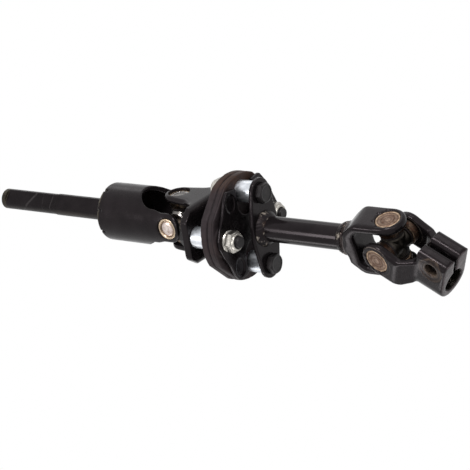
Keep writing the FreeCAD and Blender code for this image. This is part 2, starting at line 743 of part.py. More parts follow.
def make_bolt(node, grip, place):
    """A hexagon bolt: the head sits above its own origin, the shank runs down."""
    body = new_body(node)
    shank_length = f"({grip} + {NUT_HEIGHT} + Sizes.bolt_past_nut)"
    shank = new_sketch(body, f"{node}_shank_circle", "XY_Plane", f"-{shank_length}")
    draw_circle(shank, "Sizes.bolt_radius")
    feature = pad(body, f"{node}_shank", shank, shank_length)
    end = -size(shank_length)
    tip = edges_where(feature, lambda edge, c: edge.Closed and abs(c.z - end) < 0.01)
    dress(body, "Chamfer", f"{node}_tip", feature, tip, "Sizes.bolt_radius * 0.15")
    head = new_sketch(body, f"{node}_head_hexagon", "XY_Plane")
    draw_hexagon(head, "Sizes.bolt_head_half_flat")
    pad(body, f"{node}_head", head, "Sizes.bolt_head_height")
    bevel_corners(body, node, "Sizes.bolt_head_half_flat", "Sizes.bolt_head_height")
    body.Placement = place


def bevel_corners(body, node, half_flat, height):
    """Turn the corners off the outer end of a hexagon."""
    profile = new_sketch(body, f"{node}_bevel_profile", "XZ_Plane")
    draw_polygon(profile, [
        (f"{half_flat} * 0.95", height), (f"{half_flat} * 1.3", height),
        (f"{half_flat} * 1.3", f"{height} - {half_flat} * 0.2"),
    ])
    before = body.Shape.Volume
    groove = body.newObject("PartDesign::Groove", f"{node}_bevel")
    groove.Profile = profile
    groove.ReferenceAxis = (profile, ["V_Axis"])
    groove.Angle = 360
    doc.recompute()
    if groove.Shape.Volume > before * 0.99999:
        raise RuntimeError(f"{node} bevel cuts nothing")


def make_nut(node, place):
    """A locking nut on a round base: the base sits on its own origin."""
    body = new_body(node)
    base = new_sketch(body, f"{node}_base_circle", "XY_Plane")
    draw_circle(base, "Sizes.nut_base_radius")
    pad(body, f"{node}_base", base, "Sizes.nut_base_height")
    top = "Sizes.nut_base_height + Sizes.nut_hex_height"
    hexagon = new_sketch(body, f"{node}_hexagon", "XY_Plane")
    draw_hexagon(hexagon, "Sizes.nut_half_flat")
    pad(body, f"{node}_hex", hexagon, top)
    bevel_corners(body, node, "Sizes.nut_half_flat", top)
    lock = new_sketch(body, f"{node}_lock_circle", "XY_Plane", top)
    draw_circle(lock, "Sizes.nut_lock_radius")
    pad(body, f"{node}_lock", lock, "Sizes.nut_lock_height")
    bore = new_sketch(body, f"{node}_bore_circle", "XY_Plane", NUT_HEIGHT)
    draw_circle(bore, "Sizes.bolt_radius")
    pocket(body, f"{node}_bore", bore, f"{NUT_HEIGHT} + Sizes.overrun")
    body.Placement = place


def make_coupling_hardware():
    """Each bolt with its sleeve and nut: two come down from the yoke, two come up."""
    upside_down = Rotation(Vector(1, 0, 0), 180)
    upright = Rotation()
    flange_neck = "Sizes.disc_thickness"
    yoke_neck = "(Sizes.disc_thickness + Sizes.disc_boss_height)"
    yoke_grip = f"(Sizes.flange_yoke_plate + Sizes.yoke_sleeve_length + {yoke_neck} + Sizes.plate_thickness)"
    flange_grip = f"(Sizes.output_flange_thickness + Sizes.flange_sleeve_length + {flange_neck})"
    layout = (
        ("yoke", "front", 0, upright), ("yoke", "back", 1, upright),
        ("flange", "right", 2, upside_down), ("flange", "left", 3, upside_down),
    )
    heights = {
        "yoke": (YOKE_PLATE_TOP, YOKE_PLATE_BOTTOM, PLATE_BOTTOM),
        "flange": (FLANGE_BOTTOM, FLANGE_TOP, DISC_TOP),
    }
    spans = {
        "yoke": (yoke_grip, "Sizes.yoke_sleeve_length", yoke_neck),
        "flange": (flange_grip, "Sizes.flange_sleeve_length", flange_neck),
    }
    for group, side, index, turn in layout:
        x, y = (size(value) for value in bolt_centres()[index])
        head_z, sleeve_z, nut_z = (size(height) for height in heights[group])
        grip, length, neck = spans[group]
        make_bolt(f"{group}_bolt_{side}", grip, Placement(Vector(x, y, head_z), turn))
        make_sleeve(f"{group}_sleeve_{side}", length, neck, Placement(Vector(x, y, sleeve_z), turn))
        nut_turn = turn.multiply(upside_down)
        make_nut(f"{group}_nut_{side}", Placement(Vector(x, y, nut_z), nut_turn))


# Flange, tube and welds

def make_output_flange():
    body = new_body("output_flange")
    end, waist = "Sizes.output_flange_end", "Sizes.output_flange_waist"
    centre, half = "Sizes.bolt_circle_radius", "Sizes.output_flange_waist_half"
    sketch = new_sketch(body, "output_flange_strip", "XY_Plane", FLANGE_BOTTOM)
    edge = mirrored([
        (f"{centre} + {end} * 0.30", f"-{end} * 0.954"),
        ("Sizes.output_flange_shoulder_half", "-Sizes.output_flange_shoulder"), (half, f"-{waist}"),
    ])
    draw_polygon(sketch, edge + [(x, f"-({y})") for x, y in reversed(edge)])
    pad(body, "output_flange_middle", sketch, "Sizes.output_flange_thickness")
    for name, sign in (("right", ""), ("left", "-")):
        sketch = new_sketch(body, f"output_flange_{name}_circle", "XY_Plane", FLANGE_BOTTOM)
        draw_circle(sketch, end, f"{sign}{centre}")
        pad(body, f"output_flange_{name}_end", sketch, "Sizes.output_flange_thickness")
    holes = new_sketch(body, "output_flange_holes", "XY_Plane", FLANGE_TOP)
    draw_circle(holes, "Sizes.tube_radius")
    for x, y in bolt_centres()[2:]:
        draw_circle(holes, "Sizes.bolt_hole_radius", x, y)
    pocket(body, "output_flange_cuts", holes, "Sizes.output_flange_thickness + Sizes.overrun")


def make_tube():
    body = new_body("intermediate_tube")
    sketch = new_sketch(body, "intermediate_tube_profile", "XZ_Plane")
    inner = "(Sizes.tube_radius - Sizes.tube_wall)"
    draw_polygon(sketch, [
        (inner, TUBE_BOTTOM), ("Sizes.tube_radius", TUBE_BOTTOM),
        ("Sizes.tube_radius", FLANGE_TOP), (inner, FLANGE_TOP),
    ])
    revolve(body, "intermediate_tube_turned", sketch)


def make_weld(node, leg, height, seat, direction):
    """A fillet weld round the tube, standing on a seat and running up or down."""
    rise = f"{direction} {height}"
    body = new_body(node)
    sketch = new_sketch(body, f"{node}_profile", "XZ_Plane")
    draw_polygon(sketch, [
        ("Sizes.tube_radius", seat), (f"Sizes.tube_radius + {leg}", seat),
        (f"Sizes.tube_radius + {leg} * 0.78", f"{seat} {rise} * 0.55"),
        ("Sizes.tube_radius + Sizes.weld_toe", f"{seat} {rise}"), ("Sizes.tube_radius", f"{seat} {rise}"),
    ])
    revolve(body, f"{node}_bead", sketch)


# Lower yokes

def lower_frame():
    """The lower joint's frame, with its X axis along the tube yoke's pins."""
    turn = Rotation(Vector(0, 0, 1), size("Sizes.lower_joint_turn"))
    return Placement(Vector(0, 0, size(LOWER)), turn)


def cross_frame():
    return lower_frame().multiply(
        Placement(Vector(), Rotation(Vector(1, 0, 0), size("Sizes.cross_bend"))))


def clamp_frame():
    """The clamp yoke's frame: its Y axis is its own pins, the shaft's bore runs down -Z."""
    return cross_frame().multiply(
        Placement(Vector(), Rotation(Vector(0, 1, 0), size("Sizes.clamp_bend"))))


def fork_inside(yoke, direction):
    """The inner outline of a yoke's fork, from one ear's tip across to the other."""
    inner, radius = "Sizes.lower_ear_inner", "Sizes.lower_ear_radius"
    return mirrored([
        (inner, f"-({direction}{radius})"), (inner, f"{direction}Sizes.{yoke}_fork_straight"),
        (f"Sizes.{yoke}_fork_floor", f"{direction}Sizes.{yoke}_fork_depth"),
    ])


def make_tube_yoke():
    outer, radius = "Sizes.lower_ear_outer", "Sizes.lower_ear_radius"
    hub, shoulder = "Sizes.tube_yoke_hub_radius", "Sizes.tube_yoke_shoulder"
    outside = mirrored([
        (outer, f"-{radius}"), (outer, "Sizes.tube_yoke_arm_root"),
        (f"{outer} - Sizes.tube_yoke_bevel", "Sizes.tube_yoke_arm_root + Sizes.tube_yoke_bevel_length"),
        (hub, shoulder),
    ])
    fork = extrusion("tube_yoke_fork", "XZ_Plane", outside + fork_inside("tube_yoke", "")[::-1],
                     "Sizes.tube_yoke_half_width + Sizes.overrun")
    side = extrusion("tube_yoke_side", "YZ_Plane", mirrored([
        (radius, "0"), ("Sizes.tube_yoke_half_width", "Sizes.tube_yoke_fork_straight"), (hub, shoulder),
    ]), f"{outer} + Sizes.overrun", circles=((radius, "0", "0"),))
    arms = common("tube_yoke_arms", fork, side)
    overlap = "Sizes.tube_yoke_hub_overlap"
    socket = cylinder("tube_yoke_hub", hub, f"Sizes.tube_yoke_hub_top - {shoulder} + {overlap}",
                      z=f"{shoulder} - {overlap}")
    blank = fuse("tube_yoke_blank", arms, socket)
    soft = rounded("tube_yoke_soft", blank, "Sizes.lower_ear_rounding", lambda edge, c: (
        abs(abs(c.x) - size(outer)) < 0.01 and edge.BoundBox.XLength < 0.01))
    hole = cylinder("tube_yoke_cup_hole", "Sizes.lower_cup_radius", f"2 * ({outer} + Sizes.overrun)",
                    x=f"-({outer} + Sizes.overrun)", turn=X_AXIS)
    seat = cylinder("tube_yoke_socket", "Sizes.tube_radius", "Sizes.tube_socket + Sizes.overrun",
                    z="Sizes.tube_yoke_hub_top - Sizes.tube_socket")
    keep("tube_yoke", cut("tube_yoke_solid", soft, hole, seat)).Placement = lower_frame()


def make_clamp_yoke():
    outer, radius = "Sizes.lower_ear_outer", "Sizes.lower_ear_radius"
    barrel, start, end = "Sizes.clamp_radius", "Sizes.clamp_start", "Sizes.clamp_end"
    outside = mirrored([
        (outer, radius), (outer, "-Sizes.clamp_yoke_fork_straight"), (barrel, f"-{start}"),
    ])
    fork = extrusion("clamp_yoke_fork", "YZ_Plane", outside + fork_inside("clamp_yoke", "-")[::-1],
                     "Sizes.clamp_web_low + Sizes.overrun")
    side = extrusion("clamp_yoke_side", "XZ_Plane", [
        (radius, "0"), ("Sizes.clamp_web_high", "-Sizes.clamp_yoke_fork_straight"),
        ("Sizes.clamp_web_top", f"-{start}"), ("-Sizes.clamp_web_root", f"-{start}"),
        ("-Sizes.clamp_web_low", "-(Sizes.clamp_yoke_fork_straight + Sizes.clamp_web_drop)"), (f"-{radius}", "0"),
    ], f"{outer} + Sizes.overrun", circles=((radius, "0", "0"),))
    arms = rounded("clamp_yoke_soft", common("clamp_yoke_arms", fork, side),
                   "Sizes.lower_ear_rounding", lambda edge, c: (
                       abs(abs(c.y) - size(outer)) < 0.01 and edge.BoundBox.YLength < 0.01))
    length = f"{end} - {start} + Sizes.clamp_overlap"
    round_part = cylinder("clamp_round", barrel, length, z=f"-{end}")
    lugs = box("clamp_lugs", ("0", "Sizes.clamp_lug_height"), (f"-{barrel}", barrel),
               (f"-{end}", f"Sizes.clamp_overlap - {start}"))
    soft_lugs = rounded("clamp_lugs_soft", lugs, "Sizes.clamp_lug_round", lambda edge, c: (
        abs(c.x - size("Sizes.clamp_lug_height")) < 0.01
        and abs(edge.tangentAt(edge.FirstParameter).z) > 0.99))
    blank = fuse("clamp_yoke_blank", arms, round_part, soft_lugs)
    past = f"({outer} + Sizes.overrun)"
    front_face = f"-{barrel}"
    tools = [
        cylinder("clamp_cup_hole", "Sizes.lower_cup_radius", f"2 * {past}", y=f"-{past}", turn=Y_AXIS),
        cylinder("clamp_bore", "Sizes.clamp_bore_radius", f"{end} - {radius} + Sizes.overrun",
                 z=f"-({end} + Sizes.overrun)"),
        box("clamp_gap", ("0", "Sizes.clamp_lug_height + Sizes.overrun"),
            ("-Sizes.clamp_slit / 2", "Sizes.clamp_slit / 2"),
            (f"-({end} + Sizes.overrun)", f"-({start} - Sizes.clamp_slit_past)")),
        cylinder("pinch_clearance", "Sizes.pinch_hole_radius", f"{past}",
                 x="Sizes.pinch_height", y=f"-{past}", z="-Sizes.pinch_depth", turn=Y_AXIS),
        cylinder("pinch_thread", "Sizes.pinch_thread_radius", f"{past}",
                 x="Sizes.pinch_height", z="-Sizes.pinch_depth", turn=Y_AXIS),
        cylinder("pinch_spot", "Sizes.pinch_spot_radius", "Sizes.pinch_spot_depth + Sizes.overrun",
                 x="Sizes.pinch_height", y=f"{front_face} + Sizes.pinch_spot_depth"
                 " - (Sizes.pinch_spot_depth + Sizes.overrun)", z="-Sizes.pinch_depth", turn=Y_AXIS),
    ]
    keep("clamp_yoke", cut("clamp_yoke_solid", blank, *tools)).Placement = clamp_frame()


def make_upper_joint():
    place = Placement(Vector(0, 0, size(UPPER)), Rotation())
    make_cross("upper_cross", "upper", place)
    for side, axis, sign in (("front", (0, 1, 0), -1), ("back", (0, 1, 0), 1),
                             ("right", (1, 0, 0), 1), ("left", (1, 0, 0), -1)):
        make_bearing("upper", side, place, axis, sign)


def make_lower_joint():
    place = cross_frame()
    make_cross("lower_cross", "lower", place)
    for side, axis, sign in (("front", (0, 1, 0), -1), ("back", (0, 1, 0), 1),
                             ("right", (1, 0, 0), 1), ("left", (1, 0, 0), -1)):
        make_bearing("lower", side, place, axis, sign)


def check_document():
    """Stop if anything failed to compute, or a piece isn't one valid solid."""
    for item in doc.Objects:
        if "Invalid" in item.State or "Error" in item.State:
            raise RuntimeError(f"{item.Name} is {item.State}")
    for node, item in parts.items():
        shape = item.Shape
        if shape.isNull() or not shape.isValid() or len(shape.Solids) != 1:
            raise RuntimeError(f"{node} isn't one valid solid: {len(shape.Solids)}")


make_column_shaft()
make_tubular_yoke()
make_yoke_hub()
make_upper_joint()
make_flange_yoke()
make_coupling_disc()
make_stop_plate()
make_coupling_hardware()
make_output_flange()
make_tube()
make_weld("flange_weld", "Sizes.flange_weld_leg", "Sizes.flange_weld_height", FLANGE_BOTTOM, "-")
make_weld("yoke_weld", "Sizes.yoke_weld_leg", "Sizes.yoke_weld_height", HUB_TOP, "+")
make_tube_yoke()
make_lower_joint()
make_clamp_yoke()
doc.recompute()
check_document()

os.makedirs("parts", exist_ok=True)
for node, item in parts.items():
    item.Shape.exportStep(f"parts/{node}.step")
print(len(parts), "pieces written")
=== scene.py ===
import json
import math
import random

import bmesh
import bpy
import numpy as np
from mathutils import Matrix, Vector

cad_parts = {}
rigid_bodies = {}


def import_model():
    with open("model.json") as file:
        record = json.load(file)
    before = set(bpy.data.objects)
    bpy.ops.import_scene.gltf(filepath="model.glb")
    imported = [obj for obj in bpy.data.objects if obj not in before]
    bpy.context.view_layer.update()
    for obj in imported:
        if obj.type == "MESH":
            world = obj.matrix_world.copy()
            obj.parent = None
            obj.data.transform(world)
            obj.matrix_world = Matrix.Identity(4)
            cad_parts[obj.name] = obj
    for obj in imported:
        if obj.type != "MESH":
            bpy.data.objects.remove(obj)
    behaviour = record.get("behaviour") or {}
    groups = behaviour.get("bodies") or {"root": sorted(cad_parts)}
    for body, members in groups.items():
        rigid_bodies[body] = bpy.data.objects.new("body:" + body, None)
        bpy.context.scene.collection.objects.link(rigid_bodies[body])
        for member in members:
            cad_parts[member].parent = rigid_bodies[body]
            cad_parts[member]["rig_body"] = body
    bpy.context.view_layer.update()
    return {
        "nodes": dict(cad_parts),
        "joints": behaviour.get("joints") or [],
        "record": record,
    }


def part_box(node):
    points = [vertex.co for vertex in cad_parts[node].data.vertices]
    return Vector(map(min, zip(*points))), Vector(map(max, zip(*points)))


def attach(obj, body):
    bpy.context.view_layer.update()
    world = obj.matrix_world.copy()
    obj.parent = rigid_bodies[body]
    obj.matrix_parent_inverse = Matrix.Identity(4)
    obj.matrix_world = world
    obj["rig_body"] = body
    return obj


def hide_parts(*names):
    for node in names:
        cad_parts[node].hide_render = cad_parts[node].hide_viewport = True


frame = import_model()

nodes = frame["nodes"]
joints = {joint["name"]: joint for joint in frame["joints"]}
mounts = {mount["name"]: mount for mount in frame["record"]["mounts"]}

# The scene is in metres. Profiles of turned pieces are in millimetres and are multiplied by MM.
MM = 0.001
UPWARD = (0, 0, 1)


def linked(name, data):
    """A new object in the scene."""
    thing = bpy.data.objects.new(name, data)
    bpy.context.scene.collection.objects.link(thing)
    return thing


def facing(right, up, back, place):
    """The placement of something whose own axes are these three directions."""
    turn = Matrix((right, up, back)).transposed().to_4x4()
    return Matrix.Translation(place) @ turn


def pins(name):
    """Where a joint's pins cross and which way they lie."""
    joint = joints[f"{name}_pins"]
    return Vector(joint["pos_m"]), Vector(joint["axis"])


# Camera and lamps: the photograph's own viewpoint

CAMERA_PLACE = Vector((0.424395, -0.868127, -0.955874))
CAMERA_RIGHT = Vector((-0.151836, 0.572469, -0.805745))
CAMERA_UP = Vector((0.919416, 0.381021, 0.097453))
CAMERA_BACK = Vector((0.362795, -0.726018, -0.58419))
CAMERA_SENSOR, CAMERA_LENS = 36.0, 111.75
CAMERA_NEAR, CAMERA_FAR = 0.05, 50.0
SHAFT_MIDDLE = Vector((0.0, 0.0, -0.235))


def make_camera():
    data = bpy.data.cameras.new("photo_camera")
    data.sensor_width = CAMERA_SENSOR
    data.lens = CAMERA_LENS
    data.clip_start = CAMERA_NEAR
    data.clip_end = CAMERA_FAR
    camera = linked("photo_camera", data)
    camera.matrix_world = facing(CAMERA_RIGHT, CAMERA_UP, CAMERA_BACK, CAMERA_PLACE)
    bpy.context.scene.camera = camera


def area_light(name, towards, distance, size, power):
    """A soft box that looks at the middle of the shaft.

    It stands towards a direction given as right, up and back in the photo. The first of its two
    sizes runs along the shaft and the second round it.
    """
    right, up, back = towards
    direction = (CAMERA_RIGHT * right + CAMERA_UP * up + CAMERA_BACK * back).normalized()
    data = bpy.data.lights.new(name, "AREA")
    data.shape = "RECTANGLE"
    data.size, data.size_y = size
    data.energy = power
    light = linked(name, data)
    along = Vector(UPWARD)
    along = (along - direction * along.dot(direction)).normalized()
    place = SHAFT_MIDDLE + direction * distance
    light.matrix_world = facing(along, direction.cross(along), direction, place)


make_camera()
area_light("top_box", (-0.22, 0.85, -0.45), distance=1.2, size=(0.9, 0.3), power=0.9)
area_light("crest_box", (0.15, 0.97, 0.22), distance=1.3, size=(0.5, 0.25), power=1.0)
area_light("left_strip", (-0.88, -0.12, 0.46), distance=1.3, size=(0.25, 0.45), power=5.0)
area_light("front_fill", (0.3, 0.3, 1.0), distance=1.5, size=(1.0, 0.8), power=7.0)
area_light("under_box", (-0.3, -1.0, -0.1), distance=1.2, size=(0.9, 0.3), power=4.0)
area_light("brow_box", (-0.33, 0.66, 0.68), distance=1.3, size=(0.4, 0.3), power=14.0)


# Shader helpers

def clear_nodes(tree):
    for node in list(tree.nodes):
        tree.nodes.remove(node)


def add(tree, kind, **values):
    """A shader node with some of its properties and unlinked sockets set."""
    node = tree.nodes.new(kind)
    for key, value in values.items():
        if hasattr(node, key) and key not in node.inputs:
            setattr(node, key, value)
        else:
            node.inputs[key].default_value = value
    return node


def maths(tree, operation, first, second=0.0, third=0.0):
    node = add(tree, "ShaderNodeMath", operation=operation)
    for socket, value in zip(node.inputs, (first, second, third)):
        if isinstance(value, (int, float)):
            socket.default_value = value
        else:
            tree.links.new(value, socket)
    return node.outputs[0]


def product(tree, *values):
    total = values[0]
    for value in values[1:]:
        total = maths(tree, "MULTIPLY", total, value)
    return total


def highest(tree, *values):
    total = values[0]
    for value in values[1:]:
        total = maths(tree, "MAXIMUM", total, value)
    return total


def mix_shaders(tree, factor, first, second, output):
    """Links a mix of two shaders to an output node of some kind."""
    mix = add(tree, "ShaderNodeMixShader")
    out = add(tree, output)
    tree.links.new(factor, mix.inputs[0])
    tree.links.new(first.outputs[0], mix.inputs[1])
    tree.links.new(second.outputs[0], mix.inputs[2])
    tree.links.new(mix.outputs[0], out.inputs[0])


def seen_rays(tree):
    """1 for camera, glossy and transmission rays."""
    path = add(tree, "ShaderNodeLightPath")
    rays = ("Is Camera Ray", "Is Glossy Ray", "Is Transmission Ray")
    return highest(tree, *(path.outputs[name] for name in rays))


# World and floor: white where the camera and reflections see them

WHITE = (1, 1, 1, 1)
ROOM_COLOUR, ROOM_STRENGTH = (0.62, 0.63, 0.65, 1), 0.5
FLOOR_COLOUR = (0.85, 0.85, 0.85, 1)
FLOOR_LEVEL, FLOOR_HALF = -1.4, 3.0


def make_world():
    world = bpy.data.worlds.new("white_room")
    world.use_nodes = True
    tree = world.node_tree
    clear_nodes(tree)
    dim = add(tree, "ShaderNodeBackground", Color=ROOM_COLOUR, Strength=ROOM_STRENGTH)
    white = add(tree, "ShaderNodeBackground", Color=WHITE, Strength=1.0)
    mix_shaders(tree, seen_rays(tree), dim, white, "ShaderNodeOutputWorld")
    bpy.context.scene.world = world


def make_floor():
    """A pale floor well below the hanging shaft."""
    mesh = bpy.data.meshes.new("floor")
    sides = ((-1, -1), (1, -1), (1, 1), (-1, 1))
    corners = [(x * FLOOR_HALF, y * FLOOR_HALF, FLOOR_LEVEL) for x, y in sides]
    mesh.from_pydata(corners, [], [(0, 1, 2, 3)])
    floor = linked("floor", mesh)
    material = bpy.data.materials.new("floor")
    material.use_nodes = True
    tree = material.node_tree
    clear_nodes(tree)
    matt = add(tree, "ShaderNodeBsdfDiffuse", Color=FLOOR_COLOUR)
    white = add(tree, "ShaderNodeEmission", Color=WHITE, Strength=1.0)
    mix_shaders(tree, seen_rays(tree), matt, white, "ShaderNodeOutputMaterial")
    mesh.materials.append(material)


make_world()
make_floor()
bpy.context.scene.view_settings.view_transform = "Standard"


# Texture helpers. All of them work in the pieces' own coordinates, in metres.

def new_material(name):
    material = bpy.data.materials.new(name)
    material.use_nodes = True
    tree = material.node_tree
    clear_nodes(tree)
    shader = add(tree, "ShaderNodeBsdfPrincipled")
    out = add(tree, "ShaderNodeOutputMaterial")
    tree.links.new(shader.outputs[0], out.inputs[0])
    return material, tree, shader


def coloured(material, tree, shader, colour):
    """The material, once its colour is linked."""
    tree.links.new(colour, shader.inputs["Base Color"])
    return material


def set_sheen(shader, level, tint):
    shader.inputs["Specular IOR Level"].default_value = level
    shader.inputs["Specular Tint"].default_value = tint


def place_of(tree, offset=(0, 0, 0)):
    coords = add(tree, "ShaderNodeTexCoord")
    mapping = add(tree, "ShaderNodeMapping")
    mapping.inputs["Location"].default_value = offset
    tree.links.new(coords.outputs["Object"], mapping.inputs[0])
    return mapping.outputs[0]


def noise(tree, scale, detail=4.0, rough=0.55, offset=(0, 0, 0)):
    texture = add(tree, "ShaderNodeTexNoise", Scale=scale, Detail=detail, Roughness=rough)
    tree.links.new(place_of(tree, offset), texture.inputs["Vector"])
    return texture.outputs["Fac"]


def ramp(tree, source, stops):
    """A colour ramp: pairs of position and grey value or colour."""
    node = add(tree, "ShaderNodeValToRGB")
    elements = node.color_ramp.elements
    while len(elements) < len(stops):
        elements.new(0.5)
    for element, (position, value) in zip(elements, stops):
        grey = isinstance(value, (int, float))
        element.position = position
        element.color = (value, value, value, 1) if grey else (*value, 1)
    tree.links.new(source, node.inputs[0])
    return node.outputs[0]


def patchy(tree, scale, stops, **options):
    """A colour ramp over noise."""
    return ramp(tree, noise(tree, scale, **options), stops)


def wander(tree, scale, width, **options):
    """Noise centred on 0, whose full swing is a width."""
    return maths(tree, "MULTIPLY_ADD", noise(tree, scale, **options), width, -width / 2)


def mix_colour(tree, factor, first, second):
    node = tree.nodes.new("ShaderNodeMix")
    node.data_type = "RGBA"
    tree.links.new(factor, node.inputs["Factor"])
    for socket, value in ((node.inputs[6], first), (node.inputs[7], second)):
        if isinstance(value, tuple):
            socket.default_value = (*value, 1)
        else:
            tree.links.new(value, socket)
    return node.outputs[2]


EDGE_REACH, EDGE_ROUND = 0.0006, 0.0004
# Likeness of the rounded and the true normal on a sharp edge and on an open surface
SHARP_EDGE, OPEN_SURFACE = 0.80, 0.97


def soft_normal(tree, radius):
    """The surface's direction with its edges rounded off."""
    node = add(tree, "ShaderNodeBevel", Radius=radius)
    node.samples = 4
    return node.outputs[0]


def edge_mask(tree):
    """Near 1 on sharp edges and 0 on open surfaces."""
    geometry = add(tree, "ShaderNodeNewGeometry")
    dot = add(tree, "ShaderNodeVectorMath", operation="DOT_PRODUCT")
    tree.links.new(soft_normal(tree, EDGE_REACH), dot.inputs[0])
    tree.links.new(geometry.outputs["True Normal"], dot.inputs[1])
    return ramp(tree, dot.outputs["Value"], [(SHARP_EDGE, 1.0), (OPEN_SURFACE, 0.0)])


def bump(tree, shader, height, strength, distance):
    node = add(tree, "ShaderNodeBump", Strength=strength, Distance=distance)
    tree.links.new(height, node.inputs["Height"])
    tree.links.new(soft_normal(tree, EDGE_ROUND), node.inputs["Normal"])
    tree.links.new(node.outputs[0], shader.inputs["Normal"])


def vary_roughness(tree, shader, limits, scale, **options):
    smooth, coarse = limits
    varied = patchy(tree, scale, [(0.3, smooth), (0.7, coarse)], **options)
    tree.links.new(varied, shader.inputs["Roughness"])


def band(tree, direction, offset, half, soft=0.0002):
    """1 where a point's distance along a direction is within half of an offset, fading beyond."""
    dot = add(tree, "ShaderNodeVectorMath", operation="DOT_PRODUCT")
    tree.links.new(place_of(tree), dot.inputs[0])
    dot.inputs[1].default_value = direction
    away = maths(tree, "ABSOLUTE", maths(tree, "SUBTRACT", dot.outputs["Value"], offset))
    faded = maths(tree, "DIVIDE", maths(tree, "SUBTRACT", away, half), soft)
    node = add(tree, "ShaderNodeClamp")
    tree.links.new(maths(tree, "SUBTRACT", 1.0, faded), node.inputs[0])
    return node.outputs[0]


def distance_from(tree, place, axis=None):
    """How far a point lies from a place, or from the line through it along an axis."""
    offset = add(tree, "ShaderNodeVectorMath", operation="SUBTRACT")
    tree.links.new(place_of(tree), offset.inputs[0])
    offset.inputs[1].default_value = place
    away = offset.outputs[0]
    if axis is not None:
        turned = add(tree, "ShaderNodeVectorMath", operation="CROSS_PRODUCT")
        tree.links.new(away, turned.inputs[0])
        turned.inputs[1].default_value = axis
        away = turned.outputs[0]
    length = add(tree, "ShaderNodeVectorMath", operation="LENGTH")
    tree.links.new(away, length.inputs[0])
    return length.outputs["Value"]


# Paint

PAINT_DARK, PAINT_LIGHT = (0.0042, 0.0034, 0.0038), (0.0105, 0.0085, 0.0092)
PAINT_SHEEN, PAINT_TINT = 0.13, (1.0, 0.86, 0.91, 1)
PAINT_DUST = (0.035, 0.031, 0.029)
BARE_EDGE = (0.10, 0.085, 0.068)


def paint_base(name, rough=(0.14, 0.30), grain=0.12, sheen=PAINT_SHEEN):
    """Black dipped paint: blotches, dust, an orange-peel surface and worn edges."""
    material, tree, shader = new_material(name)
    set_sheen(shader, sheen, PAINT_TINT)
    colour = patchy(tree, 60.0, [(0.3, PAINT_DARK), (0.75, PAINT_LIGHT)], detail=5.0)
    specks = patchy(tree, 900.0, [(0.70, 0.0), (0.80, 0.7)], detail=3.0, rough=0.7)
    colour = mix_colour(tree, specks, colour, PAINT_DUST)
    worn = patchy(tree, 220.0, [(0.52, 0.0), (0.68, 0.5)], detail=6.0, rough=0.7)
    colour = mix_colour(tree, product(tree, edge_mask(tree), worn), colour, BARE_EDGE)
    vary_roughness(tree, shader, rough, 150.0, detail=5.0)
    bump(tree, shader, noise(tree, 450.0), grain, 0.0002)
    return material, tree, shader, colour


def black_paint(name, **options):
    return coloured(*paint_base(name, **options))


COLLAR_DARK, COLLAR_LIGHT = (0.020, 0.018, 0.012), (0.050, 0.045, 0.031)
# Colour of a painted highlight: a lighter stripe along the bar's underside
BAR_UNDERSIDE_HIGHLIGHT = (0.035, 0.029, 0.025)
BAR_MARKS = (0.032, 0.029, 0.029)
BAR_STEP = -0.0602


def bar_paint():
    """Paint of the double-D bar: rubbed collar, a painted highlight along the underside,
    scratches, a ring at the step.
    """
    material, tree, shader, colour = paint_base("bar_paint", rough=(0.22, 0.38), sheen=0.08)
    collar = band(tree, UPWARD, 0.0, 0.0052, 0.0012)
    rubbed = patchy(tree, 120.0, [(0.3, 0.45), (0.55, 0.95)], detail=5.0)
    tan = patchy(tree, 300.0, [(0.3, COLLAR_DARK), (0.7, COLLAR_LIGHT)], detail=5.0)
    colour = mix_colour(tree, product(tree, collar, rubbed), colour, tan)
    # Painted highlight: a lighter grey-brown stripe along the lower edge of the flat, where the
    # round of the bar catches light, broken up by noise
    side = maths(tree, "SUBTRACT", 1.0, band(tree, (0, 1, 0), 0.0, 0.0068, 0.0008))
    below = band(tree, (0.35, 0.6, 0.0), -0.0078, 0.0012, 0.0006)
    highlight_patches = patchy(tree, 90.0, [(0.3, 0.3), (0.6, 0.8)])
    colour = mix_colour(tree, product(tree, below, side, highlight_patches), colour, BAR_UNDERSIDE_HIGHLIGHT)
    scratch = band(tree, (0.67, 0.0, 0.74), -0.0236, 0.0007, 0.0005)
    hairline = product(tree, band(tree, (-0.25, 0.0, 0.97), -0.0492, 0.0002), 0.6)
    ring = band(tree, UPWARD, BAR_STEP, 0.0003)
    breaks = patchy(tree, 260.0, [(0.34, 0.1), (0.46, 0.8)])
    marks = product(tree, highest(tree, scratch, ring, hairline), breaks)
    return coloured(material, tree, shader, mix_colour(tree, marks, colour, BAR_MARKS))


# Painted highlights: the same light spots, standing for glints, lie on the weld and on the yoke
# beside it
GLINT_OFFSET = (0.2, 0.5, 0.1)
WELD_RUST, WELD_GLINT = (0.045, 0.021, 0.012), (0.30, 0.26, 0.22)


def weld_paint():
    """Painted weld: rusty spots, and light spots over the ripples that are painted highlights."""
    material, tree, shader, colour = paint_base("weld_bead", rough=(0.25, 0.5), grain=0.5)
    rust = patchy(tree, 170.0, [(0.56, 0.0), (0.70, 0.6)], detail=5.0, rough=0.7)
    colour = mix_colour(tree, rust, colour, WELD_RUST)
    # Painted highlights: light spots standing for glints on the glossy bead
    glints = patchy(tree, 240.0, [(0.56, 0.0), (0.66, 0.9)], rough=0.6, offset=GLINT_OFFSET)
    return coloured(material, tree, shader, mix_colour(tree, glints, colour, WELD_GLINT))


# How far down the tube yoke the heat and ripples of its weld reach, and the bare line below them
WELD_REACH, WELD_LINE = 0.0034, 0.0036
# The burnt colour by the weld, and the colour of light spots there that are painted highlights
SOOT, WELD_ZONE_GLINTS = (0.012, 0.008, 0.007), (0.22, 0.17, 0.14)
WELD_LINE_COLOUR = (0.12, 0.105, 0.10)


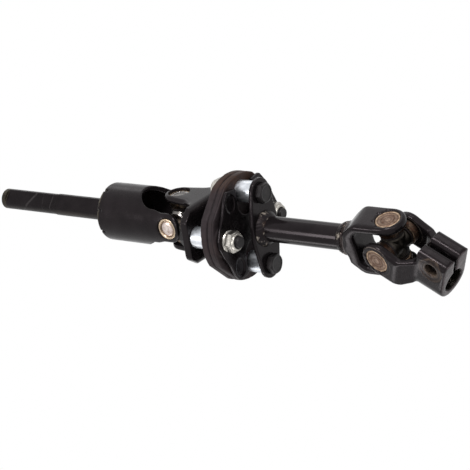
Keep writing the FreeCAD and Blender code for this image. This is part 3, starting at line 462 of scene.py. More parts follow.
def tube_yoke_paint():
    """Paint of the tube yoke: burnt beside the weld at its top, with light spots there that are
    painted highlights, above a bare line.
    """
    material, tree, shader, colour = paint_base("tube_yoke_paint")
    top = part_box("tube_yoke")[1].z
    burnt = band(tree, UPWARD, top, WELD_REACH, 0.0006)
    # Painted highlights: light spots standing for glints on the weld's ripples, lined up with
    # those on the bead
    yoke_glints = patchy(tree, 260.0, [(0.54, 0.0), (0.64, 0.9)], rough=0.6, offset=GLINT_OFFSET)
    colour = mix_colour(tree, burnt, colour, mix_colour(tree, yoke_glints, SOOT, WELD_ZONE_GLINTS))
    line = product(tree, band(tree, UPWARD, top - WELD_LINE, 0.0002), 0.7)
    return coloured(material, tree, shader, mix_colour(tree, line, colour, WELD_LINE_COLOUR))


# Wear by the bolt's head: strength at shares of a distance from the middle of its seat
HEAD_REACH = 0.0125
HEAD_RINGS = [
    (0.42, 0.95), (0.52, 0.75), (0.60, 0.2), (0.66, 0.15), (0.74, 0.5), (0.80, 0.75), (0.86, 0.0),
]
HEAD_DARK, HEAD_LIGHT = (0.055, 0.038, 0.028), (0.13, 0.095, 0.07)
MOUTH_WEAR = (0.13, 0.10, 0.105)
# Painted highlight in a thin ring round the cups, standing for the ear's outer edge catching
# light: strength at shares of a distance from the pins' line
EAR_REACH = 0.016
EAR_HIGHLIGHT_RING = [(0.780, 0.0), (0.795, 0.8), (0.815, 0.8), (0.830, 0.0)]
EAR_HIGHLIGHT = (0.15, 0.125, 0.11)


def clamp_paint(spot, down, mouth_at, pin_place, pin_axis):
    """Paint of the clamp yoke: worn at the bolt's seat and the mouth of the bore, with a painted
    highlight in a ring round the cups.
    """
    material, tree, shader, colour = paint_base("clamp_paint")
    uneven = wander(tree, 200.0, 0.002, detail=5.0)
    from_spot = maths(tree, "ADD", distance_from(tree, spot), uneven)
    rings = ramp(tree, maths(tree, "DIVIDE", from_spot, HEAD_REACH), HEAD_RINGS)
    streaks = patchy(tree, 420.0, [(0.35, 0.25), (0.65, 1.0)], detail=5.0, rough=0.7)
    tan = patchy(tree, 260.0, [(0.3, HEAD_DARK), (0.7, HEAD_LIGHT)])
    colour = mix_colour(tree, product(tree, rings, streaks), colour, tan)
    mouth = band(tree, tuple(down), mouth_at, 0.0004, 0.0004)
    # Noise that breaks up both the real scuffs at the mouth and the painted highlight round the
    # cups
    scuffs_and_highlight_patches = patchy(tree, 190.0, [(0.40, 0.1), (0.60, 0.75)], detail=5.0, rough=0.65)
    colour = mix_colour(tree, product(tree, mouth, scuffs_and_highlight_patches), colour, MOUTH_WEAR)
    # Painted highlight: a thin light ring round each cup, where the ear's rounded outer edge
    # catches light
    from_pin = maths(tree, "DIVIDE", distance_from(tree, pin_place, pin_axis), EAR_REACH)
    ring = product(tree, ramp(tree, from_pin, EAR_HIGHLIGHT_RING), scuffs_and_highlight_patches)
    return coloured(material, tree, shader, mix_colour(tree, ring, colour, EAR_HIGHLIGHT))


OLIVE = (0.060, 0.052, 0.036)


def can_paint():
    """Paint of the tubular yoke: rubbed to an olive brown round the staked rim at its top."""
    material, tree, shader, colour = paint_base("can_paint")
    rim = band(tree, UPWARD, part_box("tubular_yoke")[1].z, 0.0016, 0.0012)
    rubbed = patchy(tree, 110.0, [(0.42, 0.0), (0.58, 0.8)], detail=5.0, rough=0.65)
    colour = mix_colour(tree, product(tree, rim, rubbed), colour, OLIVE)
    return coloured(material, tree, shader, colour)


# Metal and rubber

METAL_GRAIN = 500.0


def plain_metal(name, dark, light, rough, metallic=1.0, sheen=0.5):
    material, tree, shader = new_material(name)
    shader.inputs["Metallic"].default_value = metallic
    shader.inputs["Specular IOR Level"].default_value = sheen
    colour = patchy(tree, 140.0, [(0.3, dark), (0.7, light)], detail=6.0, rough=0.65)
    vary_roughness(tree, shader, rough, METAL_GRAIN, rough=0.6)
    bump(tree, shader, noise(tree, METAL_GRAIN * 1.7, detail=3.0, rough=0.6), 0.2, 0.0001)
    return coloured(material, tree, shader, colour)


def ringed_metal(name, stops, rough, stain, stain_from, metallic=1.0):
    """Turned metal whose colour changes from its centre out, from the mesh's own radius."""
    material, tree, shader = new_material(name)
    shader.inputs["Metallic"].default_value = metallic
    radius = add(tree, "ShaderNodeAttribute", attribute_name="across")
    where = maths(tree, "ADD", radius.outputs["Fac"], wander(tree, 260.0, 0.05))
    colour = ramp(tree, where, stops)
    stains = patchy(tree, 330.0, [(stain_from, 0.0), (0.66, 0.85)], detail=6.0, rough=0.7)
    colour = mix_colour(tree, stains, colour, stain)
    vary_roughness(tree, shader, rough, 400.0, rough=0.6)
    bump(tree, shader, noise(tree, 800.0, detail=3.0, rough=0.6), 0.25, 0.0001)
    return coloured(material, tree, shader, colour)


RUBBER_SHEEN, RUBBER_TINT = 0.19, (1.0, 0.84, 0.9, 1)


def rubber_base(name, dark, light, tint):
    """Dull rubber with large patches of a tint."""
    material, tree, shader = new_material(name)
    set_sheen(shader, RUBBER_SHEEN, RUBBER_TINT)
    colour = patchy(tree, 120.0, [(0.3, dark), (0.75, light)], detail=6.0, rough=0.7)
    patches = patchy(tree, 45.0, [(0.45, 0.0), (0.7, 0.8)], rough=0.6, offset=(0.3, 0.1, 0.7))
    colour = mix_colour(tree, patches, colour, tint)
    vary_roughness(tree, shader, (0.5, 0.75), 90.0)
    bump(tree, shader, noise(tree, 700.0), 0.4, 0.0003)
    return material, tree, shader, colour


DISC_DARK, DISC_LIGHT = (0.0085, 0.0065, 0.0068), (0.021, 0.0165, 0.018)
DISC_TINT, DISC_BROWN = (0.026, 0.0175, 0.0165), (0.031, 0.016, 0.0095)
# Height of each seam above the disc's middle, and its width
DISC_SEAMS = ((0.0006, 0.0007), (-0.0042, 0.0004))
DISC_SEAM_COLOUR = (0.0015, 0.0012, 0.0012)


def disc_rubber():
    """Moulded rubber of the coupling: browner at one side, dark along the seams of its layers."""
    material, tree, shader, colour = rubber_base("rubber", DISC_DARK, DISC_LIGHT, DISC_TINT)
    crown = band(tree, (0.92, 0.38, 0.0), 0.046, 0.012, 0.010)
    brown = patchy(tree, 70.0, [(0.35, 0.3), (0.6, 1.0)], detail=5.0, rough=0.65)
    colour = mix_colour(tree, product(tree, crown, brown), colour, DISC_BROWN)
    low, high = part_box("coupling_disc")
    middle = (low.z + high.z) / 2
    axes = add(tree, "ShaderNodeSeparateXYZ")
    tree.links.new(place_of(tree), axes.inputs[0])
    uneven = wander(tree, 160.0, 0.0022, detail=5.0, rough=0.7)
    height = maths(tree, "ADD", axes.outputs["Z"], uneven)
    for offset, width in DISC_SEAMS:
        away = maths(tree, "ABSOLUTE", maths(tree, "SUBTRACT", height, middle + offset))
        seam = ramp(tree, maths(tree, "DIVIDE", away, width * 2), [(0.35, 0.9), (0.6, 0.0)])
        colour = mix_colour(tree, seam, colour, DISC_SEAM_COLOUR)
    return coloured(material, tree, shader, colour)


# Colours of the cups' faces, from the centre at 0 to the rim at 1
UPPER_CUP_RINGS = [
    (0.0, (0.66, 0.58, 0.54)), (0.55, (0.52, 0.44, 0.41)), (0.70, (0.20, 0.14, 0.10)),
    (0.78, (0.26, 0.19, 0.135)), (0.84, (0.46, 0.37, 0.27)), (0.95, (0.40, 0.31, 0.22)),
    (1.0, (0.05, 0.04, 0.03)),
]
LOWER_CUP_RINGS = [
    (0.0, (0.24, 0.17, 0.13)), (0.22, (0.26, 0.19, 0.145)), (0.27, (0.07, 0.042, 0.03)),
    (0.33, (0.20, 0.14, 0.105)), (0.48, (0.17, 0.115, 0.085)), (0.53, (0.06, 0.036, 0.026)),
    (0.58, (0.19, 0.135, 0.10)), (0.74, (0.22, 0.155, 0.115)), (0.80, (0.075, 0.045, 0.033)),
    (0.86, (0.44, 0.325, 0.23)), (0.96, (0.37, 0.27, 0.185)), (1.0, (0.02, 0.015, 0.012)),
]


def make_materials():
    """A material for each slot."""
    return {
        "black_paint": black_paint("black_paint"),
        "dark_steel": plain_metal(
            "dark_steel", (0.014, 0.012, 0.010), (0.05, 0.044, 0.038), (0.3, 0.5)),
        "rubber": disc_rubber(),
        "seal_rubber": coloured(*rubber_base(
            "seal_rubber", (0.006, 0.005, 0.005), (0.012, 0.010, 0.010), (0.02, 0.015, 0.012))),
        "black_bolt": plain_metal(
            "black_bolt", (0.007, 0.006, 0.0063), (0.020, 0.017, 0.018), (0.3, 0.5),
            metallic=0.0, sheen=0.2),
        "zinc_plate": plain_metal(
            "zinc_plate", (0.23, 0.218, 0.198), (0.52, 0.497, 0.457), (0.22, 0.42)),
        "cup_steel": ringed_metal(
            "cup_steel", UPPER_CUP_RINGS, (0.25, 0.45), stain=(0.30, 0.22, 0.17), stain_from=0.5),
        "bronze_cup": ringed_metal(
            "bronze_cup", LOWER_CUP_RINGS, (0.4, 0.65), stain=(0.055, 0.02, 0.009),
            stain_from=0.38, metallic=0.85),
        "roller_steel": plain_metal(
            "roller_steel", (0.5, 0.5, 0.5), (0.7, 0.7, 0.7), (0.2, 0.35)),
    }


MATERIALS = make_materials()
SLOT_OF = {part["node"]: part["material_slot"] for part in frame["record"]["subparts"]}
BODY_OF = {name: thing["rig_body"] for name, thing in nodes.items()}


def dress_cad():
    """Gives each CAD piece its slot's material, and some pieces a special one."""
    special = {
        "column_shaft": bar_paint(),
        "intermediate_tube": black_paint("tube_paint", rough=(0.13, 0.2), grain=0.05),
        "upper_cross": plain_metal(
            "ground_steel", (0.07, 0.065, 0.06), (0.30, 0.28, 0.27), (0.18, 0.35)),
    }
    sleeve = plain_metal("sleeve_zinc", (0.46, 0.48, 0.51), (0.74, 0.76, 0.80), (0.28, 0.45))
    for name, thing in nodes.items():
        material = sleeve if "sleeve" in name else MATERIALS[SLOT_OF[name]]
        thing.data.materials.clear()
        thing.data.materials.append(special.get(name, material))


dress_cad()


# Pieces that stand in for the CAD ones

def new_piece(name, mesh, node, material=None):
    """Makes a finished mesh a piece that takes a CAD node's place, body and slot."""
    thing = linked(name, mesh)
    mesh.materials.clear()
    mesh.materials.append(material or MATERIALS[SLOT_OF[node]])
    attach(thing, BODY_OF[node])
    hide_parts(node)


def merged_copy(node):
    """A copy of a node's mesh with its split corners joined."""
    mesh = nodes[node].data.copy()
    work = bmesh.new()
    work.from_mesh(mesh)
    bmesh.ops.remove_doubles(work, verts=work.verts, dist=1e-6)
    work.to_mesh(mesh)
    work.free()
    return mesh


def turn_outward(mesh):
    """Makes all faces of a closed mesh look outward."""
    work = bmesh.new()
    work.from_mesh(mesh)
    bmesh.ops.recalc_face_normals(work, faces=work.faces)
    work.to_mesh(mesh)
    work.free()


def applied(thing):
    """The mesh that an object's modifiers give."""
    depsgraph = bpy.context.evaluated_depsgraph_get()
    return bpy.data.meshes.new_from_object(thing.evaluated_get(depsgraph))


def vectors(mesh, kind):
    """The places or the normals of a mesh's points, one row for each."""
    values = np.zeros(len(mesh.vertices) * 3)
    mesh.vertices.foreach_get(kind, values)
    return values.reshape(-1, 3)


def add_smoothing(thing, name, passes):
    smoothing = thing.modifiers.new(name, "SMOOTH")
    smoothing.factor = 0.5
    smoothing.iterations = passes
    return smoothing


def softened(node, voxel, passes, material=None, sculpt=None, extra=0, where=None):
    """A node with the soft edges of a forging or moulding: remeshed finely and relaxed.

    Points that the function where picks out get extra passes, for the parts forged with larger
    rounds. The function sculpt, if there is one, moves the points in the end.
    """
    mesh = merged_copy(node)
    rough = linked("rough", mesh)
    remesh = rough.modifiers.new("voxels", "REMESH")
    remesh.mode = "VOXEL"
    remesh.voxel_size = voxel
    remesh.adaptivity = 0.0
    add_smoothing(rough, "relax", passes)
    final = applied(rough)
    if extra:
        weights = where(vectors(final, "co"))
        rough.data = final
        rough.modifiers.clear()
        group = rough.vertex_groups.new(name="rounder")
        for index, weight in enumerate(weights):
            if weight > 0.01:
                group.add([index], float(weight), "REPLACE")
        add_smoothing(rough, "round_over", extra).vertex_group = "rounder"
        final = applied(rough)
    bpy.data.objects.remove(rough)
    bpy.data.meshes.remove(mesh)
    if sculpt:
        points = sculpt(vectors(final, "co"), vectors(final, "normal"))
        final.vertices.foreach_set("co", points.ravel())
        final.update()
    final.shade_smooth()
    new_piece(f"{node}_forged", final, node, material)


def spun(name, rings, place, segments=96, closed=False, sharp=35.0):
    """A mesh of rings round +Z: each a radius and height, or a function of the angle giving them.

    The attribute across holds each point's radius as a share of the widest one.
    """
    angles = [2 * math.pi * k / segments for k in range(segments)]
    values = [[ring(a) if callable(ring) else ring for a in angles] for ring in rings]
    widest = max(radius for row in values for radius, _ in row)
    points, across, rows = [], [], []
    for row in values:
        if max(radius for radius, _ in row) < 1e-9:
            rows.append([len(points)])
            points.append(Vector((0, 0, row[0][1])))
            across.append(0.0)
            continue
        rows.append(list(range(len(points), len(points) + segments)))
        for angle, (radius, height) in zip(angles, row):
            points.append(Vector((radius * math.cos(angle), radius * math.sin(angle), height)))
            across.append(radius / widest)
    faces = []
    pairs = list(zip(rows, rows[1:])) + ([(rows[-1], rows[0])] if closed else [])
    for low, high in pairs:
        for k in range(segments):
            n = (k + 1) % segments
            if len(low) == 1:
                faces.append((low[0], high[n], high[k]))
            elif len(high) == 1:
                faces.append((low[k], low[n], high[0]))
            else:
                faces.append((low[k], low[n], high[n], high[k]))
    mesh = bpy.data.meshes.new(name)
    mesh.from_pydata([place @ (point * MM) for point in points], [], faces)
    attribute = mesh.attributes.new("across", "FLOAT", "POINT")
    attribute.data.foreach_set("value", across)
    turn_outward(mesh)
    mesh.shade_smooth()
    mesh.set_sharp_from_angle(angle=math.radians(sharp))
    return mesh


def upright_place(x, y, z, up):
    """A placement whose +Z points up, or else down."""
    turn = Matrix() if up else Matrix.Rotation(math.pi, 4, "X")
    return Matrix.Translation((x, y, z)) @ turn


# Nuts and bolts, in millimetres

def hexagon(half_flat, angle):
    """A hexagon's radius in a direction."""
    return half_flat / math.cos((angle + math.pi / 6) % (math.pi / 3) - math.pi / 6)


def hex_rings(half_flat, turned):
    """A maker of hexagonal rings of one size, whose corners past a turned radius may drop."""
    def hexed(scale, base, drop=0.0):
        def ring(angle):
            radius = hexagon(half_flat, angle) * scale
            return radius, base - max(0.0, radius - turned) * drop
        return ring
    return hexed


NUT_HALF_FLAT, NUT_TURNED = 8.0, 7.7
NUT_BORE = 5.05
NUT_THREAD_TOP, NUT_THREAD_END = 9.3, 7.2
NUT_THREAD_STEP, NUT_THREAD_DEPTH = 0.45, 0.25
# The nuts on the flange side are this much taller
FLANGE_NUT_LIFT = 2.4


def lifted(ring, rise):
    """A ring at a greater height."""
    if callable(ring):
        return lambda angle: (ring(angle)[0], ring(angle)[1] + rise)
    return ring[0], ring[1] + rise


def make_nut(node):
    """A flanged locking nut: hexagon with a turned top, crimped collar and a threaded bore."""
    low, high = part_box(node)
    centre = (low + high) / 2
    yoke_side = node.startswith("yoke")
    place = upright_place(centre.x, centre.y, high.z if yoke_side else low.z, not yoke_side)
    hexed = hex_rings(NUT_HALF_FLAT, NUT_TURNED)
    flange = [(NUT_BORE, 0.0), (8.6, 0.0), (8.9, 0.3), (8.9, 1.1), (8.6, 1.6)]
    body = [hexed(0.97, 2.0), hexed(1.0, 2.35), hexed(1.0, 5.0), hexed(1.0, 8.0, 0.62)]
    collar = [
        (7.6, 8.1), (7.25, 8.15), (7.2, 8.4), (7.2, 9.3), (7.0, 9.75), (6.6, 10.0), (5.9, 10.0),
        (5.5, 9.85), (5.3, 9.5),
    ]
    thread = [
        (NUT_BORE + NUT_THREAD_DEPTH * (k % 2), NUT_THREAD_TOP - NUT_THREAD_STEP * k)
        for k in range(4)]
    rings = flange + body + collar + thread + [(NUT_BORE, NUT_THREAD_END)]
    if not yoke_side:
        rings = rings[:2] + [lifted(ring, FLANGE_NUT_LIFT) for ring in rings[1:]]
    new_piece(f"{node}_formed", spun(node, rings, place, closed=True), node)


BOLT_HALF_FLAT, BOLT_TURNED = 7.6, 7.1
BOLT_HEAD, BOLT_WASHER = 5.6, 7.35
BOLT_SHANK, BOLT_TIP, BOLT_TIP_DENT = 5.0, 3.4, 0.25
THREAD_PITCH, THREAD_DEPTH = 1.5, 0.62
THREAD_CREST, THREAD_LENGTH, THREAD_RINGS = 4.97, 7.5, 46
# Length over which the thread fades at the bolt's end, and how much thinner it gets there
THREAD_FADE, THREAD_TAPER = 1.2, 0.7


def make_bolt(node):
    """A hexagon bolt with a turned head, a washer face and a rolled thread at its end."""
    low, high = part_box(node)
    centre = (low + high) / 2
    yoke_side = node.startswith("yoke")
    head = BOLT_HEAD
    length = (high.z - low.z) / MM - head
    seat = high.z - head * MM if yoke_side else low.z + head * MM
    place = upright_place(centre.x, centre.y, seat, yoke_side)
    hexed = hex_rings(BOLT_HALF_FLAT, BOLT_TURNED)

    def threaded(z):
        def ring(angle):
            turns = z / THREAD_PITCH + angle / (2 * math.pi)
            tooth = abs((turns % 1.0) * 2 - 1)
            fade = min(1.0, max(0.0, (z + length) / THREAD_FADE))
            crest = THREAD_CREST - THREAD_TAPER * (1 - fade)
            return crest - THREAD_DEPTH * (1 - tooth) * fade, z
        return ring

    rings = [
        (0.0, head - 0.35), (5.6, head - 0.35), (6.1, head - 0.05), (6.6, head),
        (7.1, head - 0.02), hexed(1.0, head - 0.02, 0.6), hexed(1.0, 2.0), hexed(1.0, 0.7),
        hexed(0.985, 0.4), (BOLT_WASHER, 0.35), (BOLT_WASHER, 0.0), (BOLT_SHANK, 0.0),
    ]
    start = -(length - THREAD_LENGTH)
    rings.append((BOLT_SHANK, start))
    for k in range(1, THREAD_RINGS + 1):
        rings.append(threaded(start - (length + start) * k / THREAD_RINGS))
    rings += [(BOLT_TIP, -length), (0.0, -length + BOLT_TIP_DENT)]
    new_piece(f"{node}_formed", spun(node, rings, place, segments=72, sharp=28.0), node)


# Bearing cups: radius and height above their yoke's face, from the middle of the cup's face out,
# down its side and back along its inside, in millimetres

CUP_FACE = {"upper": 23.9, "lower": 23.2}
CUP_PROFILES = {
    "upper": [
        (0.0, -0.1), (2.0, -0.14), (3.6, -0.26), (5.0, -0.5), (6.0, -0.85), (6.5, -1.15),
        (6.9, -1.2), (7.15, -0.85), (7.4, -0.3), (7.8, -0.12), (8.5, -0.12), (8.9, -0.35),
        (9.15, -0.8), (9.2, -1.2), (9.2, -11.2), (8.9, -11.5), (7.6, -11.5), (7.6, -1.7),
        (0.0, -1.7),
    ],
    "deep": [
        (0.0, -2.1), (3.0, -2.15), (5.2, -2.3), (6.0, -2.5), (6.6, -2.3), (7.2, -2.0), (8.2, -1.9),
        (8.8, -2.0), (9.15, -2.4), (9.2, -2.9), (9.2, -11.2), (8.9, -11.5), (7.6, -11.5),
        (7.6, -3.4), (0.0, -3.4),
    ],
    "lower": [
        (0.0, -0.35), (2.2, -0.33), (2.6, -0.5), (2.9, -0.5), (3.2, -0.3), (4.9, -0.25),
        (5.2, -0.48), (5.5, -0.48), (5.8, -0.22), (7.7, -0.2), (8.0, -0.5), (8.3, -0.5),
        (8.6, -0.12), (9.4, -0.12), (9.8, -0.35), (10.0, -0.8), (10.0, -11.2), (9.7, -11.5),
        (8.2, -11.5), (8.2, -1.7), (0.0, -1.7),
    ],
}


def pin_place(centre, axis, face):
    """+Z out along a pin, origin on the plane of its yoke's face."""
    axis = axis.normalized()
    side = axis.orthogonal().normalized()
    return facing(side, axis.cross(side), axis, centre + axis * face * MM)


def make_cups():
    """Drawn cups on the pins of both joints. Those in the flanged yoke's arms sit deeper."""
    upper, _ = pins("upper_joint_input")
    lower, lower_across = pins("lower_joint_input")
    _, lower_through = pins("lower_joint_output")
    axes = {
        "upper": (upper, Vector((1, 0, 0)), Vector((0, 1, 0))),
        "lower": (lower, lower_across, lower_through),
    }
    for joint, (centre, across, through) in axes.items():
        ways = (("right", across), ("left", -across), ("back", through), ("front", -through))
        for side, axis in ways:
            node = f"{joint}_cup_{side}"
            shape = "deep" if joint == "upper" and side in ("right", "left") else joint
            place = pin_place(centre, axis, CUP_FACE[joint])
            mesh = spun(node, CUP_PROFILES[shape], place, sharp=50.0)
            new_piece(f"{node}_drawn", mesh, node)


# Welds: shares of the bead's height and of its reach from the tube, from the tube to the toe

TUBE_RADIUS = 10.5
BEAD_PROFILE = [
    (0.0, 1.0), (0.06, 1.0), (0.28, 0.93), (0.52, 0.74), (0.76, 0.45), (0.92, 0.18), (1.0, 0.0),
]
BEAD_RIPPLES, BEAD_SLANT = 30, 0.9
RIPPLE_LEAST, RIPPLE_SWING = 0.86, 0.14
BEAD_ROOT = 0.05


def make_weld(node, up, seed, material):
    """A weld bead round the tube with overlapping ripples and a slightly uneven toe."""
    low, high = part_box(node)
    reach = (high.x - low.x) / 2 / MM
    tall = (high.z - low.z) / MM
    place = upright_place(0, 0, low.z if up else high.z, up)
    chance = random.Random(seed)
    push = [chance.uniform(0.84, 1.0) for _ in range(BEAD_RIPPLES)]

    def bead(along, out, rippled):
        def ring(angle):
            turns = angle / (2 * math.pi) * BEAD_RIPPLES + along * BEAD_SLANT
            index = int(turns) % BEAD_RIPPLES
            part = turns - int(turns)
            size = push[index] * (1 - part) + push[(index + 1) % BEAD_RIPPLES] * part
            ripple = RIPPLE_LEAST + RIPPLE_SWING * (1 - abs(2 * part - 1)) if rippled else 1.0
            radius = TUBE_RADIUS + (reach - TUBE_RADIUS) * out * size * ripple
            return radius, along * tall * (0.9 + 0.1 * size)
        return ring

    rings = [bead(along, out, 0 < along < 1) for along, out in BEAD_PROFILE]
    rings += [(TUBE_RADIUS - BEAD_ROOT, tall * 0.9), (TUBE_RADIUS - BEAD_ROOT, 0.0)]
    mesh = spun(node, rings, place, segments=360, closed=True, sharp=60.0)
    new_piece(f"{node}_bead", mesh, node, material)


# Splines in the clamp's bore, in millimetres, left open at the slit over an angle each way

SPLINE_TEETH, SPLINE_GAP = 40, math.radians(11.0)
SPLINE_CREST, SPLINE_ROOT, SPLINE_BED = 0.72, 0.12, 0.05
SPLINE_FROM_TOP, SPLINE_FROM_MOUTH = 0.8, 0.9


def make_splines():
    """The broached splines in the clamp's bore: a ribbon of teeth, four points at each step."""
    mount = mounts["gear_clamp"]
    _, through = pins("lower_joint_output")
    axis = -Vector(mount["axis"]).normalized()
    across = through.normalized()
    lug_way = across.cross(axis).normalized()
    turn = facing(lug_way, across, axis, Vector(mount["pos_m"]))
    bore = mount["dims"]["r_mm"]
    half = mount["dims"]["length_mm"] / 2
    top, bottom = half - SPLINE_FROM_TOP, -half + SPLINE_FROM_MOUTH
    outer = bore + SPLINE_BED
    steps = SPLINE_TEETH * 4
    points, faces = [], []
    for k in range(steps + 1):
        angle = SPLINE_GAP + (2 * math.pi - 2 * SPLINE_GAP) * k / steps
        inner = bore - (SPLINE_ROOT if k % 4 in (0, 1) else SPLINE_CREST)
        for z, radius in ((top, outer), (top, inner), (bottom, inner), (bottom, outer)):
            point = Vector((radius * math.cos(angle), radius * math.sin(angle), z))
            points.append(turn @ (point * MM))
    for k in range(steps):
        for j in range(4):
            n = (j + 1) % 4
            faces.append((4 * k + j, 4 * k + n, 4 * (k + 1) + n, 4 * (k + 1) + j))
    faces += [(3, 2, 1, 0), tuple(4 * steps + j for j in range(4))]
    mesh = bpy.data.meshes.new("bore_splines")
    mesh.from_pydata(points, [], faces)
    turn_outward(mesh)
    thing = linked("bore_splines", mesh)
    mesh.materials.append(MATERIALS["dark_steel"])
    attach(thing, "output")


# Sculpting. Points and normals are rows of numbers in metres.

PUNCH_RADIUS, PUNCH_DEPTH = 0.0016, 0.0009
# The punch marks' plane and circle round a cup, in millimetres from the joint and the pin
PUNCH_FACE, PUNCH_CIRCLE = 23.7, 11.0


def punch_places(centre, axis, toward, angles):
    """Places round the cups on both ends of a pin, at some degrees from a direction."""
    places = []
    for outward in (axis.normalized(), (-axis).normalized()):
        first = (toward - outward * toward.dot(outward)).normalized()
        second = outward.cross(first)
        for angle in map(math.radians, angles):
            way = first * math.cos(angle) + second * math.sin(angle)
            places.append(centre + (outward * PUNCH_FACE + way * PUNCH_CIRCLE) * MM)
    return places


def punched(points, normals, places):
    """Presses round punch marks into a surface."""
    for place in places:
        away = np.linalg.norm(points - np.array(place), axis=1)
        press = np.clip(1 - (away / PUNCH_RADIUS) ** 2, 0, 1) ** 1.5
        points = points - normals * (press * PUNCH_DEPTH)[:, None]
    return points


def clear_of(points, place, axis, radius, soft):
    """1 away from a bore's surroundings and 0 inside them."""
    axis = np.array(axis.normalized())
    offset = points - np.array(place)
    away = np.linalg.norm(offset - (offset @ axis)[:, None] * axis, axis=1)
    return np.clip((away - radius) / soft, 0, 1)


# Height of the clamp's lugs above the bore's axis and, for the long edges of each, the distance
# from the middle, the way to the open side and the round's radius, all in millimetres
LUG_TOP = 25.5
LUG_ROUNDS = ((1.5, 1, 4.8), (15.25, -1, 5.5))


def round_lugs(points, centre, frame_axes):
    """Rounds the long edges of the clamp's lugs."""
    axes = np.array([list(axis) for axis in frame_axes])
    local = (points - np.array(centre)) @ axes.T / MM
    for edge, way, radius in LUG_ROUNDS:
        deep = radius - (LUG_TOP - local[:, 0])
        wide = radius - (np.abs(local[:, 1]) - edge) * way
        away = np.hypot(deep, wide)
        held = (deep > 0) & (wide > 0) & (away > radius)
        pull = np.where(held, radius / np.maximum(away, 1e-6), 1.0)
        new_high = LUG_TOP - radius + deep * pull
        new_side = edge + (radius - wide * pull) * way
        local[:, 0] = np.where(held, new_high, local[:, 0])
        local[:, 1] = np.where(held, np.sign(local[:, 1]) * new_side, local[:, 1])
    return np.array(centre) + (local * MM) @ axes


# Ripples of the weld on the tube yoke outside a radius, and the groove under the bead
RIPPLED_FROM = 0.0112
RIPPLES_ROUND, RIPPLES_SLANT, RIPPLES_FADE = 14, 900, 0.0008
GROOVE_AT, GROOVE_WIDTH, GROOVE_DEPTH = 0.0042, 0.0005, 0.35


def weld_ripples(points, normals):
    """Lays the weld's ripples over the top of the tube yoke, down to the groove under the bead."""
    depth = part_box("tube_yoke")[1].z - points[:, 2]
    outside = np.hypot(points[:, 0], points[:, 1]) > RIPPLED_FROM
    around = np.arctan2(points[:, 1], points[:, 0])
    waves = np.abs(np.sin(around * RIPPLES_ROUND + depth * RIPPLES_SLANT))
    press = np.clip((WELD_REACH - depth) / RIPPLES_FADE, 0, 1) * outside * (0.2 + 0.55 * waves)
    groove = np.exp(-((depth - GROOVE_AT) / GROOVE_WIDTH) ** 2) * outside * GROOVE_DEPTH
    return points - normals * ((press + groove) * MM)[:, None]


# A pocket in a horn of the stop plate: its middle and half sizes along x and y
HORN_X, HORN_Y = 0.0275, 0.0205
HORN_HALF_X, HORN_HALF_Y = 0.0085, 0.0065
HORN_SLOPE, HORN_DEPTH = 0.25, 0.0009


def sink_horns(points, _):
    """Sinks a shallow pocket into each horn of the stop plate, inside a raised border."""
    low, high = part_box("stop_plate")
    x, y = np.abs(points[:, 0]), np.abs(points[:, 1])
    pocket = np.hypot((x - HORN_X) / HORN_HALF_X, (y - HORN_Y) / HORN_HALF_Y)
    press = np.clip((1.0 - pocket) / HORN_SLOPE, 0, 1)
    press = press * press * (3 - 2 * press)
    lower_face = (high.z - points[:, 2]) / (high.z - low.z) > 0.5
    points[:, 2] += press * lower_face * HORN_DEPTH
    return points


# Forgings and mouldings. Larger rounds keep clear of the bores by a radius and fade in over a
# soft distance.

FINE_VOXEL, COARSE_VOXEL = 0.0005, 0.0006
LOWER_BORE_CLEAR, UPPER_BORE_CLEAR = (0.0118, 0.0025), (0.0098, 0.0015)
CLAMP_BORE_CLEAR, BOLT_SEAT_CLEAR = (0.0112, 0.002), (0.0075, 0.002)
# Height below which the tube yoke's arms are rounded, and the softness of that change
TUBE_ARMS_AT, TUBE_ARMS_SOFT = -0.3695, 0.002
# Height above the flanged yoke's underside from which its arms are rounded, and the softness
FLANGE_ARMS_AT, FLANGE_ARMS_SOFT = 0.009, 0.004


def make_tube_yoke():
    lower, across = pins("lower_joint_input")
    marks = punch_places(lower, across, Vector(UPWARD), (-65, -25, 25, 65))

    def arms(points):
        below = np.clip((TUBE_ARMS_AT - points[:, 2]) / TUBE_ARMS_SOFT, 0, 1)
        return below * clear_of(points, lower, across, *LOWER_BORE_CLEAR)

    def sculpt(points, normals):
        return weld_ripples(punched(points, normals, marks), normals)

    softened("tube_yoke", FINE_VOXEL, 14, tube_yoke_paint(), sculpt, extra=110, where=arms)


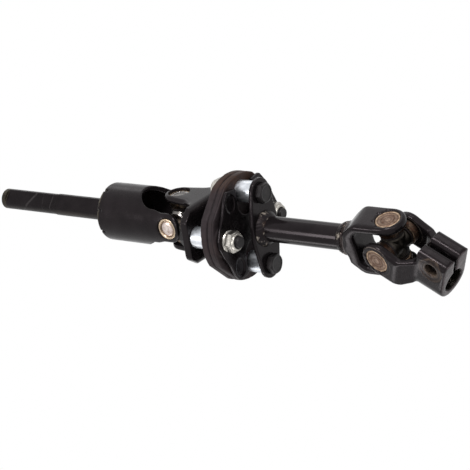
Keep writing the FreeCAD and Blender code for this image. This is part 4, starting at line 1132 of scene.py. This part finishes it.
def make_clamp_yoke():
    lower, _ = pins("lower_joint_input")
    _, through = pins("lower_joint_output")
    bore, head = mounts["gear_clamp"], mounts["pinch_bolt_clearance"]
    down, centre = Vector(bore["axis"]), Vector(bore["pos_m"])
    head_axis = Vector(head["axis"])
    spot = Vector(head["pos_m"]) + head_axis * (head["dims"]["length_mm"] / 2 * MM)
    mouth_at = centre.dot(down) + bore["dims"]["length_mm"] / 2 * MM
    marks = punch_places(lower, through, down, (-120, -60, 60, 120, 180))
    lug_way = through.cross(-down).normalized()
    lug_axes = (lug_way, through.normalized(), -down.normalized())

    def open_surface(points):
        return (clear_of(points, lower, through, *LOWER_BORE_CLEAR)
                * clear_of(points, centre, down, *CLAMP_BORE_CLEAR)
                * clear_of(points, spot, head_axis, *BOLT_SEAT_CLEAR))

    def sculpt(points, normals):
        return round_lugs(punched(points, normals, marks), centre, lug_axes)

    paint = clamp_paint(spot, down, mouth_at, lower, through.normalized())
    softened("clamp_yoke", FINE_VOXEL, 14, paint, sculpt, extra=60, where=open_surface)


def make_flange_yoke():
    upper, _ = pins("upper_joint_output")
    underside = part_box("flange_yoke")[0].z

    def arms(points):
        above = points[:, 2] - underside - FLANGE_ARMS_AT
        above = np.clip(above / FLANGE_ARMS_SOFT, 0, 1)
        return above * clear_of(points, upper, Vector((1, 0, 0)), *UPPER_BORE_CLEAR)

    softened("flange_yoke", FINE_VOXEL, 12, extra=240, where=arms)


make_tube_yoke()
make_clamp_yoke()
make_flange_yoke()
softened("stop_plate", FINE_VOXEL, 4, sculpt=sink_horns)
softened("output_flange", FINE_VOXEL, 4)
softened("coupling_disc", COARSE_VOXEL, 8)
softened("tubular_yoke", COARSE_VOXEL, 5, can_paint())
make_cups()
for side in ("front", "back"):
    make_nut(f"yoke_nut_{side}")
    make_bolt(f"yoke_bolt_{side}")
for side in ("right", "left"):
    make_nut(f"flange_nut_{side}")
    make_bolt(f"flange_bolt_{side}")
bead_paint = weld_paint()
make_weld("flange_weld", up=False, seed=11, material=bead_paint)
make_weld("yoke_weld", up=True, seed=7, material=bead_paint)
make_splines()
